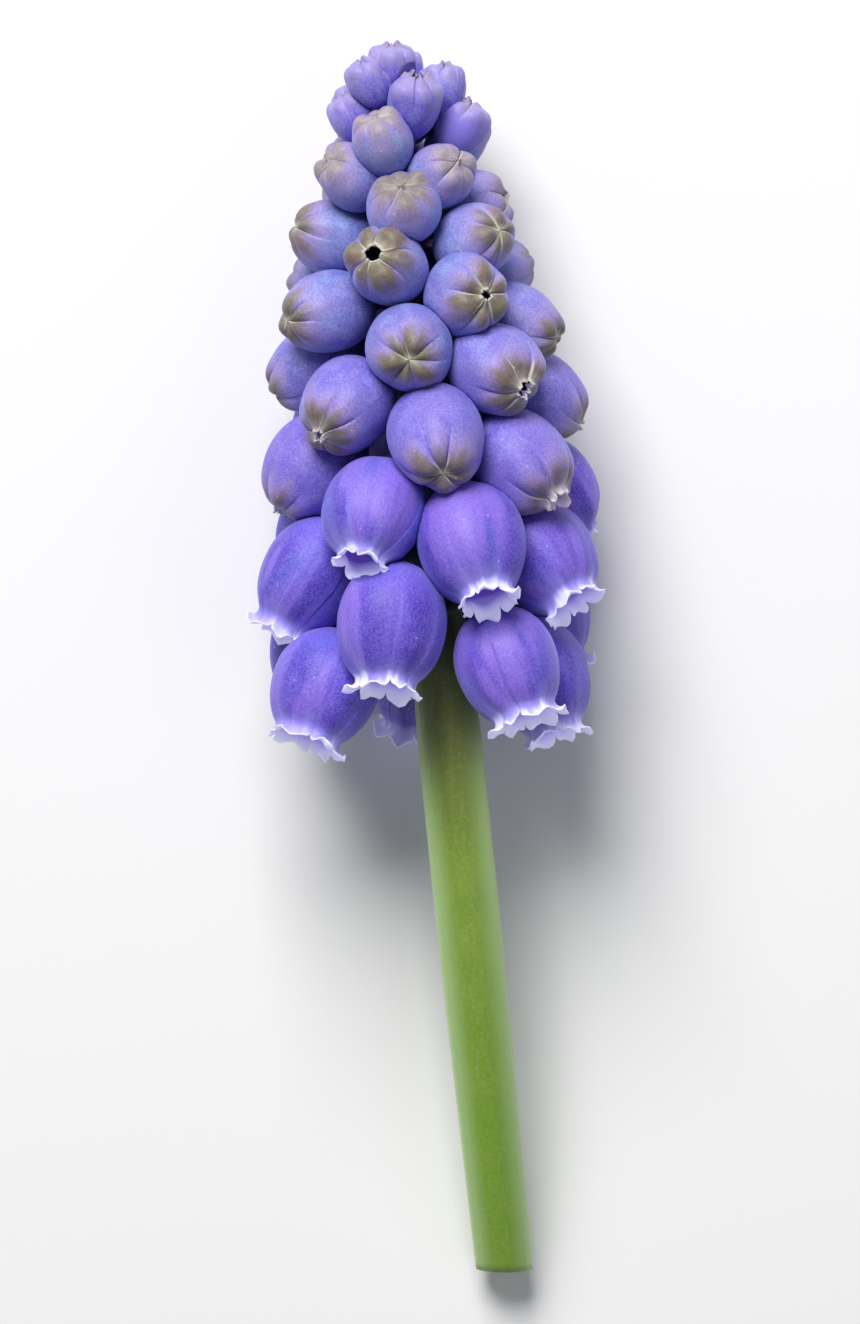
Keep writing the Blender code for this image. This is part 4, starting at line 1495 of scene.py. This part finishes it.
# %% [markdown]
# All petal materials share one frame: a soft shader that lets a little light through, with the
# skin's bump and a faint bluish sheen like the wax on a grape. What differs is the colour, which
# is laid on in thin coats, as in a painting. Each coat has a name that also labels its node.

# %% The frame of a petal material
LEAST_ROUGHNESS = 0.38
WAX_ROUGHNESS = 0.25
BUMP_DEPTH = 0.016 * MM
# strength of the painted glow that stands in for light through thin lobes
LOBE_LIGHT = 0.48
BLACK = paint(0, 0, 0)


def blend(amount, first, second, label=""):
    """The first colour where the amount is 0 and the second where it is 1."""
    inputs = {0: amount, 6: first, 7: second}
    tree = tree_of(amount, first, second)
    return add_node(tree, "ShaderNodeMix", 2, inputs, data_type="RGBA", clamp_factor=True, label=label)


def lay(base, *coats):
    """Coats of colour laid over a base in turn, each with its name, amount and colour."""
    for name, amount, colour in coats:
        base = blend(amount, base, colour, name)
    return base


def place_group(tree, group, inputs=None):
    """Put a shared effect into a material, with its own values. Gives its outputs by name."""
    node = tree.nodes.new("ShaderNodeGroup")
    node.node_tree = group
    fill(node, inputs or {})
    return {socket.name: Value(socket) for socket in node.outputs}


def add_bump(shader, height, depth):
    """Let the shader see small heights on the surface."""
    tree = height.tree
    fill(shader, {"Normal": add_node(tree, "ShaderNodeBump", 0, {"Height": height, "Distance": depth})})


def petal_frame(name, glow=0.20, cells=8.0):
    """A petal material with its skin bump. Gives it with its shader, skin masks and growth bands."""
    material, shader = new_material(name, {
        "Subsurface Weight": glow,
        "Subsurface Radius": (0.6, 0.45, 1.0),
        "Subsurface Scale": 0.30 * MM,
        "Sheen Weight": 0.42,
        "Sheen Roughness": 0.42,
        "Sheen Tint": paint(160, 172, 255),
        "Specular IOR Level": 0.36,
    })
    tree = material.node_tree
    skin = place_group(tree, skin_group, {"Cells per mm": cells})
    add_bump(shader, skin["Height"], BUMP_DEPTH)
    fill(shader, {"Roughness": skin["Wax"] * WAX_ROUGHNESS + LEAST_ROUGHNESS})
    print("petal material made:", name)
    return material, shader, skin, place_group(tree, band_group)


def mottled(body, skin, strength):
    """The colour with the skin's fine light and dark mottling and its pale specks."""
    dark = blend(strength, body, paint(60, 44, 150))
    light = blend(strength, body, paint(196, 194, 250))
    body = blend(skin["Mottle"].fade(0.30, 0.70), dark, light)
    return lay(body, ("specks", skin["Speck"] * 0.55, paint(222, 222, 250)))


# %% [markdown]
# An open bell is violet-blue, deeper along the middle of each lobe and lighter towards its stalk.
# Near the rim the violet thins out unevenly until the turned-out lobes are nearly white.
# Inside the bell is a dusky violet, with painted shade that darkens it the deeper it goes. A painted
# glow stands in for the light that the thin wall lets through, so the hollow glows a little, and no
# lobe looks grey on its dark side.

# %% Finish of the open bells
def bell_finish():
    """Material of the open bells."""
    material, shader, skin, bands = petal_frame("bell_violet", glow=0.34)
    names = ("neck_mm", "tip_mm", "along", "inside", "tone", "across")
    neck, tip, along, inside, tone, across = marks_of(material.node_tree, *names)
    middle = across.fade(1.15, 0.2) * along.fade(0.10, 0.45)
    thread = bands["Streak"].fade(0.50, 0.70) * along.fade(0.25, 0.7)
    body = lay(
        blend(tone, paint(104, 80, 202), paint(114, 86, 205)),
        ("stalk side", along.fade(0.40, 0.02) * 0.6, paint(114, 98, 208)),
        ("cool clouds", bands["Second blotch"] * 0.75, paint(88, 90, 200)),
        ("deep lobe middles", bands["Blotch"] * middle, paint(74, 44, 176)),
        ("rosy blotches", bands["Blotch"].fade(0.5, 0.0) * 0.42, paint(150, 112, 214)),
        ("dark threads", thread * 0.5, paint(82, 54, 176)),
        ("wax", skin["Wax"].fade(0.46, 0.64) * 0.35, paint(108, 98, 205)),
    )
    body = mottled(body, skin, 0.13)
    uneven = (bands["Second blotch"] - 0.5) * 0.5
    place = neck - ((bands["Streak"] - 0.5) * 0.8 + uneven)
    hollow = blend(neck.fade(-0.60, 0.20), paint(222, 220, 248), paint(152, 128, 218))
    # painted shade: the inside of the bell grows darker the deeper it goes
    hollow = lay(hollow, ("painted shade deep down", neck.fade(0.2, 3.0), paint(116, 90, 196)))
    body = lay(
        body,
        ("milky neck", place.fade(0.80, -0.35) * 0.66, paint(152, 146, 222)),
        ("white rim", place.fade(-0.10, -0.65) * (tone * 0.35 + 0.46), paint(224, 226, 248)),
        ("hollow", inside, hollow),
        ("lit edge", tip.fade(0.20, 0.0) * 0.3, paint(240, 240, 252)),
    )
    # painted glow: emission in the hollow and on the lobes stands in for light through the thin wall
    lobes = neck.fade(0.3, -0.5) * (inside * 0.65 + 0.35)
    glow = lay(blend(inside, BLACK, paint(80, 58, 134)), ("painted glow of the lobes", lobes, paint(170, 168, 208)))
    fill(shader, {"Base Color": body, "Emission Color": glow, "Emission Strength": LOBE_LIGHT})
    return material


bell_violet = bell_finish()

# %% [markdown]
# A bud is a cooler blue than a bell, the cooler the younger it is. Its tip carries the star of the
# group above. On the youngest buds the whole end is a grey tan, because their lobes are still thick,
# and on the oldest only a brownish shade is left round the seams. Painted shade darkens each bud
# towards its stalk and deep in the hollow of an opening bud, and a painted glow stands in for the
# light that shines through the thin lobes round its mouth, so its hollow glows.

# %% Finish of the closed buds
def patch_colours(age, streak, skin):
    """The colour of the patches at the tip: tan on young buds, olive, and brownish on old ones."""
    mix = streak.fade(0.40, 0.60)
    young = blend(mix, paint(156, 148, 138), paint(148, 131, 144))
    patches = lay(
        blend(mix, paint(110, 108, 34), paint(108, 90, 52)),
        ("young tips", age.fade(0.42, 0.22), young),
        ("old tips", age.fade(0.60, 0.78), paint(120, 98, 118)),
    )
    return mottled(patches, skin, 0.08)


def bud_finish():
    """Material of the closed buds."""
    material, shader, skin, bands = petal_frame("bud_blue")
    tree = material.node_tree
    star = place_group(tree, star_group, {"Reach mm": 1.36, "Seam mm": 0.055})
    names = ("age", "tone", "along", "inside", "tip_mm", "opened")
    age, tone, along, inside, tip, opened = marks_of(tree, *names)
    waxy = blend(age.fade(0.50, 0.74), paint(146, 164, 212), paint(134, 120, 216))
    body = lay(
        blend(age.fade(0.36, 0.76), paint(108, 128, 188), paint(105, 85, 196)),
        ("tone of its own", tone * 0.4, paint(128, 118, 208)),
        # painted shade: each bud grows darker towards its stalk, where its neighbours shade it
        ("stalk side", along.fade(0.62, 0.08) * 0.75, paint(74, 70, 174)),
        ("wax", skin["Wax"].fade(0.42, 0.64) * 0.6, waxy),
        ("blotches", bands["Blotch"] * 0.38, paint(130, 108, 188)),
        ("mauve fringe", star["Fringe"] * 0.72, paint(158, 134, 182)),
    )
    body = mottled(body, skin, 0.13)
    # the grey tan of the young ones stays nearer to the tip
    kept = 0.92 - age.fade(0.42, 0.24) * tip.fade(0.65, 1.45) * 0.75
    pale_tip = tip.fade(0.42, 0.05) * age.fade(0.30, 0.36) * opened.fade(2.0, 0.0)
    lilac = blend(tip.fade(1.6, 0.2), paint(128, 116, 206), paint(154, 142, 184))
    # painted shade: the hollow of an opening bud goes nearly black the deeper it lies
    hollow = blend(tip.fade(0.3, 1.3), paint(150, 138, 186), paint(44, 36, 78))
    strong = age.fade(0.69, 0.72) * 0.55 + age.fade(0.50, 0.58) * 0.45
    body = lay(
        body,
        ("patches", star["Patch"] * kept, patch_colours(age, bands["Streak"], skin)),
        ("pale tip", pale_tip * 0.5, paint(186, 186, 160)),
        ("youngest bud", age.fade(0.19, 0.18), lilac),
        # painted shade in the crease beside each seam
        ("painted crease shade", star["Crease shade"] * 0.6, paint(78, 70, 74)),
        ("pale seams", star["Seam"] * (age.fade(0.33, 0.40) * 0.4 + 0.35), paint(214, 210, 184)),
        ("hollow", inside.fade(0.75, 1.0), hollow),
        ("pale lobes", tip.fade(0.70, 0.20) * strong * opened * 0.7, paint(184, 176, 192)),
        ("rim", tip.fade(0.13, 0.02) * age.fade(0.36, 0.40) * opened * 0.6, paint(200, 194, 180)),
    )
    # painted glow: emission round the mouth stands in for light through the thin lobes
    lit = tip.fade(1.1, 0.2) * (age.fade(0.50, 0.58) * 0.7 + 0.3) * inside.fade(0.3, 1.0)
    glow = blend(lit, BLACK, paint(150, 136, 178))
    fill(shader, {"Base Color": body, "Emission Color": glow, "Emission Strength": LOBE_LIGHT})
    return material


bud_blue = bud_finish()

# %% [markdown]
# The florets of the crown never open. They are a light lilac with deeper violet feet, and their
# small rounded lobes end in a dusty grey mauve, with painted shade in the crease beside each seam.

# %% Finish of the crown
def crown_finish():
    """Material of the sterile florets at the tip."""
    material, shader, skin, bands = petal_frame("crown_lilac", cells=9.0)
    tree = material.node_tree
    star = place_group(tree, star_group, {"Reach mm": 0.9, "Seam mm": 0.04})
    along, tip, inside = marks_of(tree, "along", "tip_mm", "inside")
    body = lay(
        blend(bands["Blotch"], paint(136, 128, 206), paint(110, 92, 200)),
        ("violet foot", along.fade(0.82, 0.15), paint(76, 60, 186)),
        ("wax", skin["Wax"].fade(0.42, 0.64) * 0.5, paint(148, 144, 218)),
    )
    body = lay(
        mottled(body, skin, 0.12),
        ("dust", star["Fringe"] * 0.65, paint(156, 144, 186)),
        ("mauve ends", tip.fade(0.35, 0.05) * 0.6, paint(146, 134, 150)),
        # painted shade in the crease beside each seam
        ("painted crease shade", star["Crease shade"] * 0.3, paint(90, 74, 150)),
        ("hollow", inside * 0.7, paint(138, 122, 206)),
    )
    fill(shader, {"Base Color": body})
    return material


crown_lilac = crown_finish()

# %% [markdown]
# The stem is a fresh green that turns to dark olive under the head, painted shade where little light
# reaches. Hair-thin pale lines run along it, and its flanks carry a thin wax with a painted sheen, so
# they look milky. Painted shade darkens it further where it enters the head. Inside the head the axis
# and the stalks are tinted a dark blue: their own violet, darkened as painted shade of the gaps between
# the florets. All this follows from the place along the table and round the stem.

# %% Finish of the stem and stalks
STEM_BUMP_DEPTH = 0.02 * MM
# scales of the stem's three noises, in clouds a millimetre
THREADS = 7.0 / MM
BROAD_CLOUDS = 0.5 / MM
FINE_GRAIN = 6.0 / MM


def stem_finish():
    """Material of the stem and the stalks."""
    material, shader = new_material("stem_green", {
        "Subsurface Weight": 0.12,
        "Subsurface Radius": (0.5, 1.0, 0.25),
        "Subsurface Scale": 0.4 * MM,
        "Specular IOR Level": 0.4,
        "Sheen Weight": 0.25,
        "Sheen Tint": paint(225, 240, 210),
    })
    tree = material.node_tree
    flank, pith = marks_of(tree, "flank", "pith")
    place = object_place(tree)
    y = add_node(tree, "ShaderNodeSeparateXYZ", 1, {0: place}) * (1 / MM)
    streak = noise(stretch(place, (1.0, 0.04, 1.0)), THREADS, 3.0)
    clouds = noise(place, BROAD_CLOUDS, 3.0)
    grain = noise(place, FINE_GRAIN, 3.0)
    dusty = grain.fade(0.3, 0.7) * 0.35 + 0.65
    # painted sheen: the sides of the stem are made paler, over its thin real wax
    wax = flank.fade(0.25, 1.05) * dusty * y.fade(3.0, -8.0)
    body = lay(
        blend(y.fade(-28.0, -8.0), paint(122, 164, 44), paint(116, 146, 50)),
        ("light clouds", clouds.fade(0.35, 0.7) * 0.30, paint(140, 168, 66)),
        # painted shade: the stem darkens to olive under the head
        ("painted olive shade", y.fade(-10.5, -2.5), paint(110, 118, 54)),
        ("wax and painted sheen on the flanks", wax, paint(166, 200, 130)),
        ("threads", streak.fade(0.48, 0.68) * 0.08, paint(164, 190, 112)),
        ("pale grain", grain.fade(0.5, 0.3) * 0.14, paint(176, 196, 118)),
        ("dark grain", grain.fade(0.5, 0.75) * 0.22, paint(88, 118, 34)),
        # painted shade: dark where the stem enters the head among the florets
        ("painted shade at the foot of the head", y.fade(-1.0, 3.0), paint(64, 68, 58)),
        # the axis's own violet, darkened as painted shade of the gaps between florets
        ("blue and painted shade in the head", y.fade(2.0, 6.0), paint(54, 44, 108)),
        ("ring of vessels", pith.fade(0.02, 0.10), paint(128, 158, 80)),
        ("pith", pith.fade(0.22, 0.45), paint(206, 218, 164)),
    )
    add_bump(shader, streak * 0.6 + grain * 0.4, STEM_BUMP_DEPTH)
    fill(shader, {"Base Color": body, "Roughness": clouds * 0.2 + 0.38})
    print("finish made:", material.name)
    return material


stem_green = stem_finish()

# %% [markdown]
# The organs inside the bells need only small finishes: matt dark blue anthers dusted with pollen,
# pale lilac filaments and a pale green ovary.

# %% Finishes inside the bells
def organ_finish(name, first, second, grain_size):
    """A soft mottled material for a small organ."""
    material, shader = new_material(name, {})
    skin = place_group(material.node_tree, skin_group, {"Cells per mm": 1 / grain_size})
    add_bump(shader, skin["Height"], BUMP_DEPTH)
    colour = blend(skin["Mottle"].fade(0.35, 0.65), first, second)
    fill(shader, {"Base Color": colour, "Roughness": skin["Wax"] * 0.3 + 0.5})
    print("finish made:", name)
    return material


anther_blue = organ_finish("anther_blue", paint(38, 34, 96), paint(86, 80, 150), 0.07)
filament_lilac = organ_finish("filament_lilac", paint(190, 180, 236), paint(214, 208, 244), 0.10)
pistil_green = organ_finish("pistil_green", paint(150, 176, 96), paint(178, 198, 130), 0.12)

# %% [markdown]
# Each piece takes its finish here, after all of them are made. The buds are two pieces only because
# one mesh would be very large, so they share one finish, and so do the stem and the stalks.

# %% Dress the pieces
FINISHES = (
    (bells, bell_violet), (lower_buds, bud_blue), (upper_buds, bud_blue), (crown, crown_lilac),
    (stem, stem_green), (stalks, stem_green),
    (anthers, anther_blue), (filaments, filament_lilac), (pistils, pistil_green),
)
for piece, material in FINISHES:
    piece.data.materials.append(material)
print("dressed pieces:", len(FINISHES))
